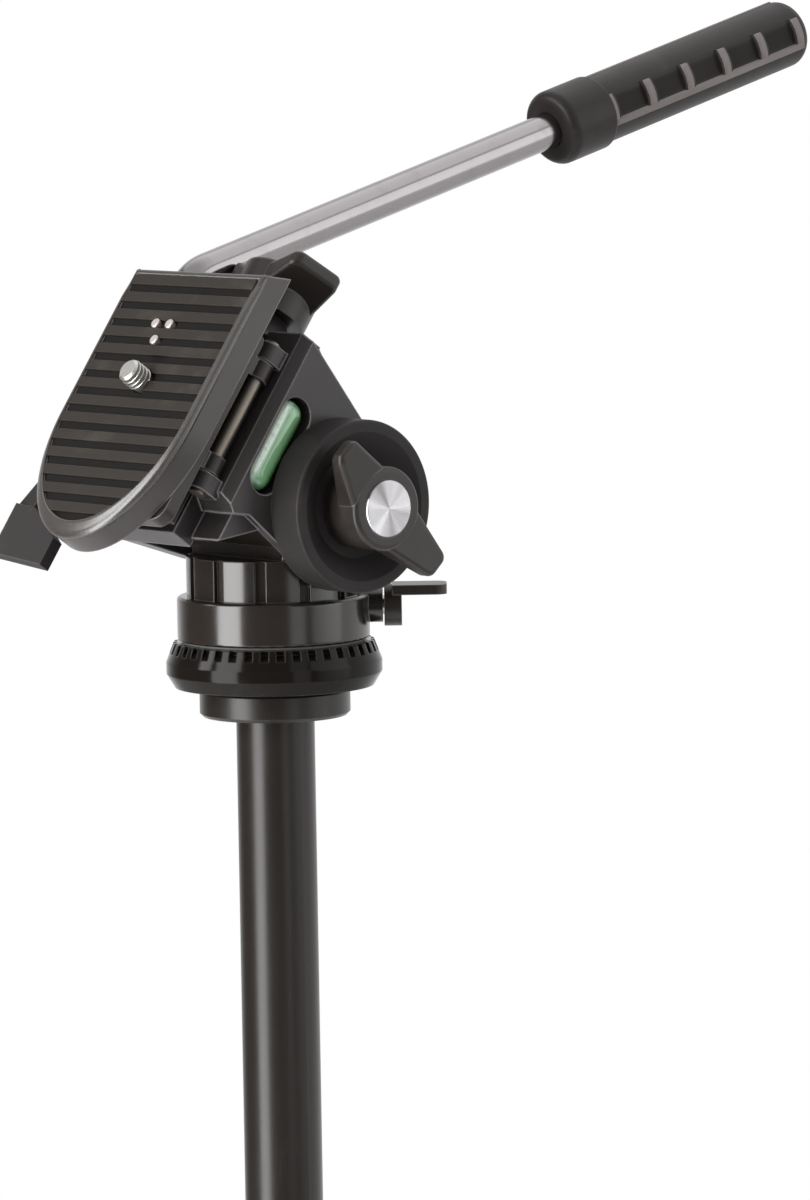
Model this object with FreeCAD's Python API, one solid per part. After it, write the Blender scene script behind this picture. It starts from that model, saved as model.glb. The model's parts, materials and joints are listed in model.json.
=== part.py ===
"""A camera tripod with a three-way pan and tilt head, as separate solids.

Row frame: millimetres, +Z up, origin on the floor under the centre column. The lens side is -Y, the
pan handle points to +Y and the tilt axis lies along X. The tilting parts are drawn level, with
their own origin on the tilt axis, and then tilted. Each leg is drawn hanging down from its hinge.
"""
import FreeCAD, Part

import math
import os

Vec = FreeCAD.Vector
X_DIR, Y_DIR, Z_DIR = Vec(1, 0, 0), Vec(0, 1, 0), Vec(0, 0, 1)

# Clearances
RUN = 0.3  # between curved faces that move past each other
FIT = 0.05  # radial, on pins and shafts in their holes
REACH = 400.0  # longer than any piece, for cutting tools

# Overall stance
HINGE_HEIGHT = 392.0  # leg hinge pins above the floor
HINGE_RADIUS = 35.0  # leg hinge pins from the column axis
SPREAD = 24.0  # degrees of each leg from the vertical
HEAD_HEIGHT = 596.0  # middle of the pan housing disc above the floor
TILT_REST = 54.48  # degrees nose down, as photographed
LEG_AZIMUTHS = (-90.0, 30.0, 150.0)
LEG_NAMES = ("front", "left", "right")

# Centre column
COLUMN_R = 10.4
COLUMN_WALL = 1.4
COLUMN_LENGTH = 276.0
COLUMN_CAP_LENGTH = 9.0
HUB_R = 20.0
HUB_H = 7.4
HUB_SPIGOT = 24.0
STUD_R = 4.76
STUD_LENGTH = 30.0

# Pan base
RING_R = 28.65
RING_TOP_R = 26.6
RING_H = 11.9
RING_SHOULDER = 5.25
RING_NOTCHES = 40
RING_NOTCH_W = 2.2
RING_NOTCH_DEPTH = 1.3
PAN_WASHER_R = 24.0
PAN_WASHER_T = 0.6
DISC_R = 25.5
DISC_H = 11.6
TOWER_R = 22.9
TOWER_H = 10.8
TOWER_GROOVES = 12
TOWER_GROOVE_W = 3.0
TOWER_GROOVE_DEPTH = 1.4
TOWER_GROOVE_TURN = 12.0
NECK_HALF_DEPTH = 12.0
PIVOT_R = 6.0
PIVOT_RISE = 17.0  # above the ring's top
PIVOT_FLANGE_R = 8.0
PIVOT_FLANGE_T = 2.0

# Pan lock
PAN_LOCK_AZIMUTH = 49.0
PAN_LOCK_Z = 2.6  # above the middle of the disc
PAN_LOCK_SCREW_R = 2.5
PAN_BOSS_R = 4.6
PAN_BOSS_OUT = 29.0  # radius where the boss ends
PAN_HUB_R = 5.6
PAN_HUB_OUT = 34.0
PAN_BLADE_OUT = 46.0
PAN_BLADE_T = 2.6
PAN_BLADE_W = 11.0
PAN_BLADE_CORNER = 3.0

# Tilt joint
TILT_HEIGHT = 31.3  # tilt axis above the middle of the disc
BARREL_R = 16.4
BARREL_HALF = 23.5
AXLE_R = 4.0
AXLE_HEAD_R = 6.5
AXLE_HEAD_T = 4.0
TILT_WASHER_R = 15.0
TILT_WASHER_T = 0.5
LEFT_CHEEK_R = 18.4
LEFT_CHEEK_T = 7.0
RIGHT_CHEEK_R = 20.0
RIGHT_CHEEK_T = 3.2
DRUM_R = 22.6
DRUM_T = 10.8
DRUM_RIM = 3.0
DRUM_DISH_R = 13.5  # floor of the dish
DRUM_DISH_DEPTH = 3.6

# Cradle, measured from the tilt axis: y to the rear, z along the plate's normal
CRADLE_TOP = 33.4
CRADLE_DECK_T = 7.0
CRADLE_REAR = 31.5
CRADLE_FRONT = 30.0
CRADLE_SHORT_FRONT = 17.0
CRADLE_BARREL_GAP = 0.6
SHELL_FRONT_Y = -15.5  # lower edge of the shell over the barrel
SHELL_FRONT_Z = 14.0
SHELL_REAR_Y = 22.5
SHELL_REAR_Z = 9.5
BLOCK_BOTTOM = 16.0  # spirit level block
BLOCK_CHIN = 3.2
BLOCK_CHIN_Z = 28.5
BLOCK_BOTTOM_FRONT = -14.0
BLOCK_BOTTOM_REAR = 22.0
CRADLE_SHOULDER = 2.6  # chamfer along the top of the spirit level block
REAR_BOSS_X = 2.0
REAR_BOSS_Z = 30.0
REAR_BOSS_R = 6.6
REAR_BOSS_ROOT_R = 9.6
REAR_BOSS_END = 37.2
SOCKET_X = -22.0
SOCKET_Z = 39.4
SOCKET_R = 6.3
SOCKET_START = 27.0
SOCKET_END = 35.5

# Spirit level
VIAL_R = 4.4
VIAL_LENGTH = 26.5
VIAL_Z = 25.0
VIAL_Y = 2.4
VIAL_COVER = 0.2  # the vial's side behind the block's side face
WINDOW_MARGIN = 0.7

# T-knobs
KNOB_HUB_R = 11.0
KNOB_SPAN = 45.4
KNOB_ROOT_HALF = 9.2
KNOB_TIP_HALF = 3.7
KNOB_TIP_ROUND = 2.6
KNOB_FLARE = 3.2  # the wings' tips stand this far out from the hub's face
KNOB_TIP_T = 4.2
KNOB_CAP_RIM = 0.4
KNOB_DEPTH = 12.1
KNOB_WING_T = 6.8
KNOB_FLARE_START = 8.2
KNOB_WING_FOOT = 4.0  # where a wing starts inside the hub, from the axis
KNOB_EDGE = 1.3
KNOB_GAP = 0.4
KNOB_TURN = -47.0  # degrees, wing direction as photographed
CAP_R = 7.5
CAP_T = 2.0
CAP_PROUD = 0.6
REAR_KNOB_SPAN = 35.8
REAR_KNOB_TIP_HALF = 7.6
REAR_KNOB_TURN = -13.0
REAR_KNOB_SCREW_R = 3.0
REAR_KNOB_SCREW_IN = 10.0  # into the cradle
REAR_KNOB_SCREW_SPACE = 2.0  # in front of the screw's end

# Side tilt
SIDE_PIN_X = 20.0
SIDE_PIN_Z = 36.8
SIDE_PIN_R = 2.2
KNUCKLE_R = 3.2
KNUCKLE_W = 5.0
SIDE_PIN_FRONT = -14.0
SIDE_PIN_REAR = 20.0
PLATFORM_BOTTOM = 34.2
PLATFORM_FLANGE_T = 3.8
PLATFORM_TOP = 45.7
PLATFORM_RIGHT = 23.4
PLATFORM_LEFT = -26.0
PLATFORM_BLOCK_RIGHT = 14.0
PLATFORM_BLOCK_LEFT = -22.0
PLATFORM_BLOCK_REAR = 24.0
PLATFORM_REAR = 25.6
PLATFORM_FRONT = -33.0
PLATFORM_CORNER = 4.0

# Quick release plate
PLATE_HALF_W = 27.0
PLATE_REAR = 36.65
PLATE_STRAIGHT = 44.7
PLATE_NOSE = 36.3
PLATE_BOTTOM = 46.0
PLATE_TOP = 53.9
PLATE_REAR_SLOPE = 3.4
PLATE_EDGE = 1.1
TONGUE_HALF_W = 17.0
TONGUE_H = 3.6
TONGUE_REAR = 20.0
TONGUE_FRONT = -22.0
SLOT_GAP = 0.35
PAD_SIDE_RIM = 1.7
PAD_NOSE_RIM = 4.6
PAD_SINK = 1.1
PAD_RIB_TOP = 54.46
PAD_FLOOR = 53.5
PAD_RIB_PITCH = 5.3
PAD_RIB_W = 2.9
SCREW_R = 3.175
SCREW_NECK_R = 2.9  # inside the plate
SCREW_PROUD = 5.6
SCREW_Y = 2.5
SCREW_HEAD_R = 8.0
SCREW_HEAD_T = 3.2
PIP_R = 1.4
PIP_CIRCLE_R = 3.3
PIP_X = -3.0
PIP_Y = 18.0
PIP_PROUD = 0.7
PIP_DEPTH = 3.0

# Quick release lever
LEVER_PIVOT_X = -31.0
LEVER_PIVOT_Y = -13.0
LEVER_HUB_R = 4.6
LEVER_Z0 = 37.2
LEVER_Z1 = 42.2
LEVER_PIN_R = 2.0
LEVER_LUG_T = 3.0
LEVER_ARM_HALF = 3.0
LEVER_ELBOW_X = -38.4
LEVER_ELBOW_Y = -31.0
PADDLE_X0 = -41.0
PADDLE_X1 = -24.5
PADDLE_Y0 = -46.0
PADDLE_Y1 = -33.8
PADDLE_T = 3.4
PADDLE_RISE = 4.2

# Pan handle
HANDLE_R = 5.0
HANDLE_WALL = 1.0
HANDLE_BEND_Y = 43.4
HANDLE_BEND = 39.2  # degrees
HANDLE_BEND_R = 12.0
HANDLE_STRAIGHT = 206.0
GRIP_R = 9.6
GRIP_COLLAR_R = 10.6
GRIP_COLLAR_L = 17.0
GRIP_LENGTH = 97.0
GRIP_BEYOND = 23.0  # past the tube's end
GRIP_POCKETS = 5
GRIP_POCKET_PITCH = 15.0
GRIP_POCKET_GAP = 4.0
GRIP_POCKET_W = 8.0
GRIP_POCKET_DEPTH = 1.1
GRIP_POCKET_TURN = -9.0
NUT_R = 6.3
NUT_H = 3.4

# Leg crown
CROWN_R = 21.0
CROWN_BELOW = 22.0  # its underside below the hinge pins
CROWN_ABOVE = 12.0  # its top above the hinge pins
LUG_R = 9.5
LUG_HALF_W = 12.5
TONGUE_W = 14.0
HINGE_PIN_R = 3.0
HINGE_PIN_HEAD_R = 4.6
HINGE_PIN_HEAD_T = 1.6
THREAD_WALL = 3.0
THREAD_H = 8.0
COLLET_BELOW_TOP = 3.0
COLLET_SLIT = 1.2
COLLET_R = 13.2
COLLET_SINK = 16.0  # its seat below the crown's top
COLLAR_R = 19.0
COLLAR_H = 16.0
COLLAR_RIBS = 20
COLLAR_RIB_R = 1.3

# Leg, measured down from the hinge along the leg
SOCKET_TOP = 15.5
SOCKET_BOTTOM = 50.0
LEG_SOCKET_R = 14.8
LEG_KNUCKLE_R = 8.0
UPPER_R = 12.6
UPPER_WALL = 1.2
UPPER_START = 20.0
UPPER_IN_LOCK = 27.0
MIDDLE_R = 10.9
MIDDLE_WALL = 1.1
MIDDLE_START = 34.0
MIDDLE_IN_LOCK = 13.2
LOWER_R = 9.3
LOWER_WALL = 1.1
LOWER_START = 48.0
LOWER_IN_FOOT = 5.2
LOCK_1_H = 32.6
LOCK_1_R = 15.6
LOCK_2_H = 23.6
LOCK_2_R = 13.8
LOCK_GAP = 0.8  # between the collars and the foot with the leg drawn in
FOOT_SLEEVE = 13.6  # above the middle of its ball
FOOT_R = 12.6
FOOT_NECK_R = 11.6
FOOT_PAD_R = 5.0
FLIP_T = 3.2
FLIP_GAP = 0.5
FLIP_ARC = 95.0  # degrees of the collar that the lever hugs
FLIP_AT = -28.0
FLIP_KNUCKLE_R = 2.7
FLIP_PIN_R = 1.2
FLIP_EAR_T = 3.0


def box(x, y, z):
    """A block between two limits on each axis."""
    return Part.makeBox(x[1] - x[0], y[1] - y[0], z[1] - z[0], Vec(x[0], y[0], z[0]))


def rod(radius, start, end):
    """A round bar between two points."""
    span = end - start
    return Part.makeCylinder(radius, span.Length, start, span)


def rod_z(radius, z, x=0.0, y=0.0):
    """An upright round bar."""
    return rod(radius, Vec(x, y, z[0]), Vec(x, y, z[1]))


def rod_x(radius, x, y=0.0, z=0.0):
    """A round bar along X."""
    return rod(radius, Vec(x[0], y, z), Vec(x[1], y, z))


def rod_y(radius, y, x=0.0, z=0.0):
    """A round bar along Y."""
    return rod(radius, Vec(x, y[0], z), Vec(x, y[1], z))


def tube_z(outer, inner, z):
    """An upright tube."""
    return rod_z(outer, z).cut(rod_z(inner, (z[0] - 1, z[1] + 1)))


def prism(points, along):
    """A polygon pushed along a vector."""
    wire = Part.makePolygon(list(points) + [points[0]])
    return Part.Face(wire).extrude(along)


def profile_x(points, x):
    """A (y, z) polygon pushed along X between two limits."""
    return prism([Vec(x[0], y, z) for y, z in points], Vec(x[1] - x[0], 0, 0))


def fused(*shapes):
    """One solid from pieces that overlap or touch."""
    whole = shapes[0].fuse(list(shapes[1:])) if len(shapes) > 1 else shapes[0]
    return whole.removeSplitter()


def around(shape, count, start=0.0):
    """Copies of a shape evenly spaced about the Z axis."""
    copies = []
    whole = round(count)
    for index in range(whole):
        copy = shape.copy()
        copy.rotate(Vec(0, 0, 0), Z_DIR, start + 360.0 * index / whole)
        copies.append(copy)
    return copies


def tangent_side(centre, radius, corner, side):
    """The point where a line from a corner touches a circle, on the side +1 or -1."""
    dy, dz = centre[0] - corner[0], centre[1] - corner[1]
    distance = math.hypot(dy, dz)
    along = math.atan2(dz, dy)
    half = math.asin(radius / distance)
    length = math.sqrt(distance**2 - radius**2)
    angle = along + side * half
    return corner[0] + length * math.cos(angle), corner[1] + length * math.sin(angle)


def cheek(radius, top, x):
    """A disc about the tilt axis drawn up to a level top edge between two corners."""
    rear, front, height = top
    rear_touch = tangent_side((0.0, 0.0), radius, (rear, height), 1)
    front_touch = tangent_side((0.0, 0.0), radius, (front, height), -1)
    points = [(0.0, 0.0), rear_touch, (rear, height), (front, height), front_touch]
    return fused(rod_x(radius, x), profile_x(points, x))


def on_line(first, second, y):
    """The x at y on the line through two (x, y) points."""
    return first[0] + (second[0] - first[0]) * (y - first[1]) / (second[1] - first[1])


def knob_wing(span, tip_half):
    """One wing of a knob along +Y, thinner and narrower towards its flared tip."""
    half = span / 2
    tip_front = KNOB_DEPTH + KNOB_FLARE
    root = on_line((KNOB_ROOT_HALF, 0.0), (tip_half, half), KNOB_WING_FOOT)
    outline = [(KNOB_WING_FOOT, root), (half, tip_half), (half, -tip_half), (KNOB_WING_FOOT, -root)]
    wing = profile_x(outline, (0, tip_front + 1))
    corners = [e for e in wing.Edges if e.BoundBox.YMin > half - 0.01 and e.BoundBox.XLength > 1]
    wing = wing.makeFillet(KNOB_TIP_ROUND, corners)
    face = ((KNOB_DEPTH, KNOB_FLARE_START), (tip_front, half))
    back = ((KNOB_DEPTH - KNOB_WING_T, KNOB_ROOT_HALF), (tip_front - KNOB_TIP_T, half))
    near, far = KNOB_WING_FOOT - 1, half + 1
    edge_on = [(on_line(*face, near), near), (on_line(*face, far), far)]
    edge_on += [(on_line(*back, far), far), (on_line(*back, near), near)]
    wing = wing.common(prism([Vec(x, y, -REACH) for x, y in edge_on], Vec(0, 0, 2 * REACH)))
    outer = [e for e in wing.Edges if e.BoundBox.YMax > KNOB_WING_FOOT + 0.01]
    return wing.makeFillet(KNOB_EDGE, outer)


def t_knob(span, tip_half):
    """A T-shaped knob on the X axis with its wings along Y, its seat at x = 0."""
    wing = knob_wing(span, tip_half)
    opposite = wing.copy()
    opposite.rotate(Vec(0, 0, 0), X_DIR, 180)
    hub = rod_x(KNOB_HUB_R, (0, KNOB_DEPTH + KNOB_CAP_RIM))
    rim = [e for e in hub.Edges if e.BoundBox.XLength < 1e-6 and e.BoundBox.XMax > KNOB_DEPTH / 2]
    return fused(hub.makeFillet(KNOB_EDGE, rim), wing, opposite)


DISC_BOTTOM = -DISC_H / 2
DISC_TOP = DISC_H / 2
RING_TOP = DISC_BOTTOM - PAN_WASHER_T
RING_BOTTOM = RING_TOP - RING_H
HUB_TOP = RING_BOTTOM - 0.5
HUB_BOTTOM = HUB_TOP - HUB_H
COLUMN_TOP = HUB_BOTTOM
CHEEK_IN = BARREL_HALF + TILT_WASHER_T
DRUM_IN = CHEEK_IN + RIGHT_CHEEK_T
DRUM_OUT = DRUM_IN + DRUM_T
LEFT_OUT = -CHEEK_IN - LEFT_CHEEK_T
KNOB_SEAT = DRUM_OUT - DRUM_DISH_DEPTH + KNOB_GAP
VIAL_X = DRUM_IN - VIAL_COVER - VIAL_R
FLANGE_BOTTOM = PLATFORM_TOP - PLATFORM_FLANGE_T
GRIP_START = HANDLE_STRAIGHT + GRIP_BEYOND - GRIP_LENGTH
CROWN_BOTTOM = HINGE_HEIGHT - CROWN_BELOW
CROWN_TOP = HINGE_HEIGHT + CROWN_ABOVE
COLLET_BOTTOM = CROWN_TOP - COLLET_SINK
COLLAR_TOP = CROWN_TOP + COLLAR_H
FOOT_RISE = math.sqrt(FOOT_R**2 - FOOT_PAD_R**2)
FOOT_CENTRE = (HINGE_HEIGHT - FOOT_RISE) / math.cos(math.radians(SPREAD))
FOOT_START = FOOT_CENTRE - FOOT_SLEEVE
LOWER_END = FOOT_START + LOWER_IN_FOOT
LOCK_2_END = FOOT_START - LOCK_GAP
LOCK_2_START = LOCK_2_END - LOCK_2_H
MIDDLE_END = LOCK_2_START + MIDDLE_IN_LOCK
LOCK_1_END = LOCK_2_START - LOCK_GAP
LOCK_1_START = LOCK_1_END - LOCK_1_H
UPPER_END = LOCK_1_START + UPPER_IN_LOCK


def on_head(shape):
    """Lifts a shape drawn about the middle of the disc to its height."""
    shape = shape.copy()
    shape.translate(Vec(0, 0, HEAD_HEIGHT))
    return shape


def tilted(shape):
    """Tilts a shape drawn level about the tilt axis and lifts it to its height."""
    shape = shape.copy()
    shape.rotate(Vec(0, 0, 0), X_DIR, TILT_REST)
    shape.translate(Vec(0, 0, HEAD_HEIGHT + TILT_HEIGHT))
    return shape


def pan_lock_place(shape):
    """Turns a shape drawn along +X at the pan lock's height to its azimuth."""
    shape = shape.copy()
    shape.rotate(Vec(0, 0, 0), Z_DIR, PAN_LOCK_AZIMUTH)
    return on_head(shape)


def centre_column():
    """The black tube that carries the head."""
    bottom = COLUMN_TOP - COLUMN_LENGTH
    return on_head(tube_z(COLUMN_R, COLUMN_R - COLUMN_WALL, (bottom, COLUMN_TOP)))


def column_end_cap():
    """The plug that closes the column's lower end."""
    bottom = COLUMN_TOP - COLUMN_LENGTH
    flange = rod_z(COLUMN_R, (bottom - 2.0, bottom))
    plug = rod_z(COLUMN_R - COLUMN_WALL - FIT, (bottom - 1.0, bottom + COLUMN_CAP_LENGTH))
    return on_head(fused(flange, plug))


def column_hub():
    """The collar on the column's top, with a spigot inside the tube."""
    collar = rod_z(HUB_R, (HUB_BOTTOM, HUB_TOP))
    edges = [e for e in collar.Edges if e.BoundBox.ZLength < 1e-6]
    collar = collar.makeChamfer(0.9, edges)
    spigot = rod_z(COLUMN_R - COLUMN_WALL - FIT, (HUB_BOTTOM - HUB_SPIGOT, HUB_BOTTOM + 1))
    seat = rod_z(HUB_R - 2, (HUB_TOP - 1, RING_BOTTOM))
    whole = fused(collar, spigot, seat)
    return on_head(whole.cut(rod_z(STUD_R + FIT, (-REACH / 4, 0))))


def head_stud():
    """The steel stud that screws the head to the column."""
    top = RING_TOP - 3.0
    stud = rod_z(STUD_R, (top - STUD_LENGTH, top))
    ends = [e for e in stud.Edges if e.BoundBox.ZLength < 1e-6]
    return on_head(stud.makeChamfer(0.8, ends))


def pan_ring():
    """The fixed ring under the pan housing, with a notched shoulder."""
    shoulder = Part.makeCone(RING_R, RING_TOP_R, RING_SHOULDER, Vec(0, 0, RING_TOP - RING_SHOULDER))
    wall_bottom = RING_TOP - RING_SHOULDER - 3.0
    wall = rod_z(RING_R, (wall_bottom, RING_TOP - RING_SHOULDER))
    foot = Part.makeCone(RING_R - 2.2, RING_R, wall_bottom - RING_BOTTOM, Vec(0, 0, RING_BOTTOM))
    body = fused(shoulder, wall, foot)
    body = body.cut(rod_z(STUD_R + FIT, (RING_BOTTOM - 1, RING_TOP - 2.9)))
    notch_floor = RING_TOP - RING_NOTCH_DEPTH
    notch_root = RING_TOP_R - 1.6
    across = (-RING_NOTCH_W / 2, RING_NOTCH_W / 2)
    notch = box((notch_root, RING_R + 1), across, (notch_floor, RING_TOP + 1))
    slope = math.degrees(math.atan2(RING_R - RING_TOP_R, RING_SHOULDER))
    notch.rotate(Vec(notch_root, 0, notch_floor), Y_DIR, slope + 8)
    body = body.cut(around(notch, RING_NOTCHES))
    return on_head(body)


def pan_pivot():
    """The steel pivot that the head turns on, with its retaining flange."""
    shaft = rod_z(PIVOT_R, (RING_TOP, RING_TOP + PIVOT_RISE))
    flange = rod_z(PIVOT_FLANGE_R, (RING_TOP + PIVOT_RISE - PIVOT_FLANGE_T, RING_TOP + PIVOT_RISE))
    return on_head(fused(shaft, flange))


def pan_washer():
    """The friction washer between ring and housing."""
    return on_head(tube_z(PAN_WASHER_R, PIVOT_R + RUN, (RING_TOP, DISC_BOTTOM)))


def pan_housing():
    """The turning base: disc, grooved tower, tilt barrel and pan lock boss."""
    disc = rod_z(DISC_R, (DISC_BOTTOM, DISC_TOP))
    disc = disc.makeFillet(0.9, [e for e in disc.Edges if e.BoundBox.ZLength < 1e-6])
    tower_top = DISC_TOP + TOWER_H
    tower = rod_z(TOWER_R, (DISC_TOP - 1, tower_top))
    groove = box(
        (TOWER_R - TOWER_GROOVE_DEPTH, TOWER_R + 1),
        (-TOWER_GROOVE_W / 2, TOWER_GROOVE_W / 2),
        (DISC_TOP, tower_top + 1),
    )
    tower = tower.cut(around(groove, TOWER_GROOVES, TOWER_GROOVE_TURN))
    barrel = rod_x(BARREL_R, (-BARREL_HALF, BARREL_HALF), 0, TILT_HEIGHT)
    neck_x = (-BARREL_HALF + 2, BARREL_HALF - 2)
    neck = box(neck_x, (-NECK_HALF_DEPTH, NECK_HALF_DEPTH), (tower_top - 3, TILT_HEIGHT))
    neck = neck.common(rod_z(TOWER_R - 0.6, (0, REACH)))
    neck = neck.common(rod_x(BARREL_R + 6, (-REACH, REACH), 0, TILT_HEIGHT))
    boss = rod_x(PAN_BOSS_R, (DISC_R - 6, PAN_BOSS_OUT), 0, PAN_LOCK_Z)
    boss.rotate(Vec(0, 0, 0), Z_DIR, PAN_LOCK_AZIMUTH)
    body = fused(disc, tower, barrel, neck, boss)
    flange_z = RING_TOP + PIVOT_RISE - PIVOT_FLANGE_T
    bore = rod_z(PIVOT_R + FIT, (DISC_BOTTOM - 1, flange_z))
    pocket = rod_z(PIVOT_FLANGE_R + RUN, (flange_z, RING_TOP + PIVOT_RISE + RUN))
    axle_hole = rod_x(AXLE_R + FIT, (-BARREL_HALF - 1, BARREL_HALF + 1), 0, TILT_HEIGHT)
    body = body.cut([bore, pocket, axle_hole])
    screw_hole = rod_x(PAN_LOCK_SCREW_R + FIT, (PIVOT_R, PAN_BOSS_OUT + 1), 0, PAN_LOCK_Z)
    screw_hole.rotate(Vec(0, 0, 0), Z_DIR, PAN_LOCK_AZIMUTH)
    return on_head(body.cut(screw_hole))


def pan_lock_screw():
    """The steel screw that presses on the pan pivot."""
    return pan_lock_place(rod_x(PAN_LOCK_SCREW_R, (PIVOT_R + 0.2, PAN_HUB_OUT - 2), 0, PAN_LOCK_Z))


def pan_lock_lever():
    """The pan lock's thumb lever."""
    hub = rod_x(PAN_HUB_R, (PAN_BOSS_OUT + KNOB_GAP, PAN_HUB_OUT), 0, PAN_LOCK_Z)
    blade_top = PAN_LOCK_Z + PAN_HUB_R
    blade = box(
        (PAN_BOSS_OUT + 2.5, PAN_BLADE_OUT),
        (-PAN_BLADE_W / 2, PAN_BLADE_W / 2),
        (blade_top - PAN_BLADE_T, blade_top),
    )
    outer = [e for e in blade.Edges if e.BoundBox.XMin > PAN_BLADE_OUT - 0.01]
    blade = blade.makeFillet(PAN_BLADE_CORNER, [e for e in outer if e.BoundBox.ZLength > 1])
    screw_hole = rod_x(PAN_LOCK_SCREW_R + FIT, (0, PAN_HUB_OUT - 1.9), 0, PAN_LOCK_Z)
    return pan_lock_place(fused(hub, blade).cut(screw_hole))


def tilt_axle():
    """The steel axle of the tilt joint, headed at its left end."""
    shaft = rod_x(AXLE_R, (LEFT_OUT + 1, KNOB_SEAT + 7.0))
    head = rod_x(AXLE_HEAD_R, (LEFT_OUT - 0.5, LEFT_OUT + AXLE_HEAD_T - 0.5))
    return tilted(fused(shaft, head))


def tilt_washers():
    """The two friction washers on the ends of the barrel."""
    washers = []
    for x in ((BARREL_HALF, CHEEK_IN), (-CHEEK_IN, -BARREL_HALF)):
        washer = rod_x(TILT_WASHER_R, x)
        washers.append(tilted(washer.cut(rod_x(AXLE_R + RUN, (x[0] - 1, x[1] + 1)))))
    return Part.makeCompound(washers)


def tilt_cradle():
    """The tilting body: two cheeks, the deck, the spirit level block and the rear bosses."""
    left = cheek(LEFT_CHEEK_R, (CRADLE_REAR, -CRADLE_FRONT, CRADLE_TOP), (LEFT_OUT, -CHEEK_IN))
    side = (CHEEK_IN, DRUM_IN)
    right = cheek(RIGHT_CHEEK_R, (CRADLE_REAR, -CRADLE_SHORT_FRONT, CRADLE_TOP), side)
    deck_floor = CRADLE_TOP - CRADLE_DECK_T
    deck = box((LEFT_OUT, CHEEK_IN + 1), (-CRADLE_SHORT_FRONT, CRADLE_REAR), (deck_floor, CRADLE_TOP))
    apron_y = (-CRADLE_FRONT, -CRADLE_SHORT_FRONT + 1)
    apron = box((LEFT_OUT, PLATFORM_BLOCK_RIGHT), apron_y, (deck_floor, CRADLE_TOP))
    shell_r = BARREL_R + CRADLE_BARREL_GAP
    shell_points = [
        (CRADLE_REAR, deck_floor + 1),
        (-CRADLE_FRONT + 2, deck_floor + 1),
        (SHELL_FRONT_Y, SHELL_FRONT_Z),
        (SHELL_REAR_Y, SHELL_REAR_Z),
    ]
    shell = profile_x(shell_points, (-CHEEK_IN - 1, CHEEK_IN + 1))
    block_points = [
        (CRADLE_REAR - 0.6, CRADLE_TOP),
        (-CRADLE_SHORT_FRONT, CRADLE_TOP),
        (-CRADLE_SHORT_FRONT - BLOCK_CHIN, BLOCK_CHIN_Z),
        (BLOCK_BOTTOM_FRONT, BLOCK_BOTTOM),
        (BLOCK_BOTTOM_REAR, BLOCK_BOTTOM),
    ]
    block = profile_x(block_points, (PLATFORM_BLOCK_RIGHT, DRUM_IN))
    boss_foot = Vec(REAR_BOSS_X, CRADLE_REAR - 1, REAR_BOSS_Z)
    boss_length = REAR_BOSS_END - CRADLE_REAR + 1
    boss = Part.makeCone(REAR_BOSS_ROOT_R, REAR_BOSS_R, boss_length, boss_foot, Y_DIR)
    socket = rod_y(SOCKET_R, (SOCKET_START, SOCKET_END), SOCKET_X, SOCKET_Z)
    socket_wall = box(
        (SOCKET_X - SOCKET_R, SOCKET_X + SOCKET_R),
        (SOCKET_START, SOCKET_END),
        (deck_floor, SOCKET_Z),
    )
    body = fused(left, right, deck, apron, shell, block, boss, socket, socket_wall)
    tower_room = rod_x(shell_r, (-CHEEK_IN, CHEEK_IN))
    shoulder_points = [
        Vec(DRUM_IN - CRADLE_SHOULDER, -REACH, CRADLE_TOP),
        Vec(DRUM_IN + 1, -REACH, CRADLE_TOP - CRADLE_SHOULDER - 1),
        Vec(DRUM_IN + 1, -REACH, CRADLE_TOP + 1),
        Vec(DRUM_IN - CRADLE_SHOULDER, -REACH, CRADLE_TOP + 1),
    ]
    body = body.cut(prism(shoulder_points, Vec(0, 2 * REACH, 0)))
    bore = rod_x(AXLE_R + FIT, (-REACH, REACH))
    head_seat = rod_x(AXLE_HEAD_R + RUN, (LEFT_OUT - 1, LEFT_OUT + AXLE_HEAD_T - 0.5))
    body = body.cut([tower_room, bore, head_seat, vial_window(), side_tilt_relief()])
    screw_depth = REAR_KNOB_SCREW_IN + REAR_KNOB_SCREW_SPACE
    screw_hole = rod_y(REAR_KNOB_SCREW_R + FIT, (CRADLE_REAR - screw_depth, REACH), REAR_BOSS_X, REAR_BOSS_Z)
    handle_hole = rod_y(HANDLE_R + FIT, (SOCKET_START - 1, REACH), SOCKET_X, SOCKET_Z)
    body = body.cut([screw_hole, handle_hole])
    lugs = [knuckle(y) for y in cradle_knuckles()]
    body = fused(body, *lugs)
    body = body.cut(side_pin_bore())
    return tilted(body.removeSplitter())


def cradle_knuckles():
    """Where the cradle's two hinge knuckles lie along Y."""
    front = (SIDE_PIN_FRONT - KNUCKLE_W, SIDE_PIN_FRONT)
    return front, (SIDE_PIN_REAR, SIDE_PIN_REAR + KNUCKLE_W)


def platform_knuckles():
    """Where the platform's two hinge knuckles lie along Y."""
    front = (SIDE_PIN_FRONT + RUN, SIDE_PIN_FRONT + RUN + KNUCKLE_W)
    return front, (SIDE_PIN_REAR - RUN - KNUCKLE_W, SIDE_PIN_REAR - RUN)


def knuckle(y):
    """A hinge knuckle of the cradle, rising from its top."""
    ring = rod_y(KNUCKLE_R, y, SIDE_PIN_X, SIDE_PIN_Z)
    foot = box((SIDE_PIN_X - KNUCKLE_R, SIDE_PIN_X + KNUCKLE_R), y, (CRADLE_TOP - 1, SIDE_PIN_Z))
    return fused(ring, foot)


def side_pin_bore():
    """The hole for the side tilt hinge pin."""
    return rod_y(SIDE_PIN_R + FIT, (-REACH, REACH), SIDE_PIN_X, SIDE_PIN_Z)


def side_tilt_relief():
    """Room in the cradle's top for the knuckles and the pin between them."""
    y = (SIDE_PIN_FRONT, SIDE_PIN_REAR)
    return rod_y(KNUCKLE_R + RUN, y, SIDE_PIN_X, SIDE_PIN_Z)


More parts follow.
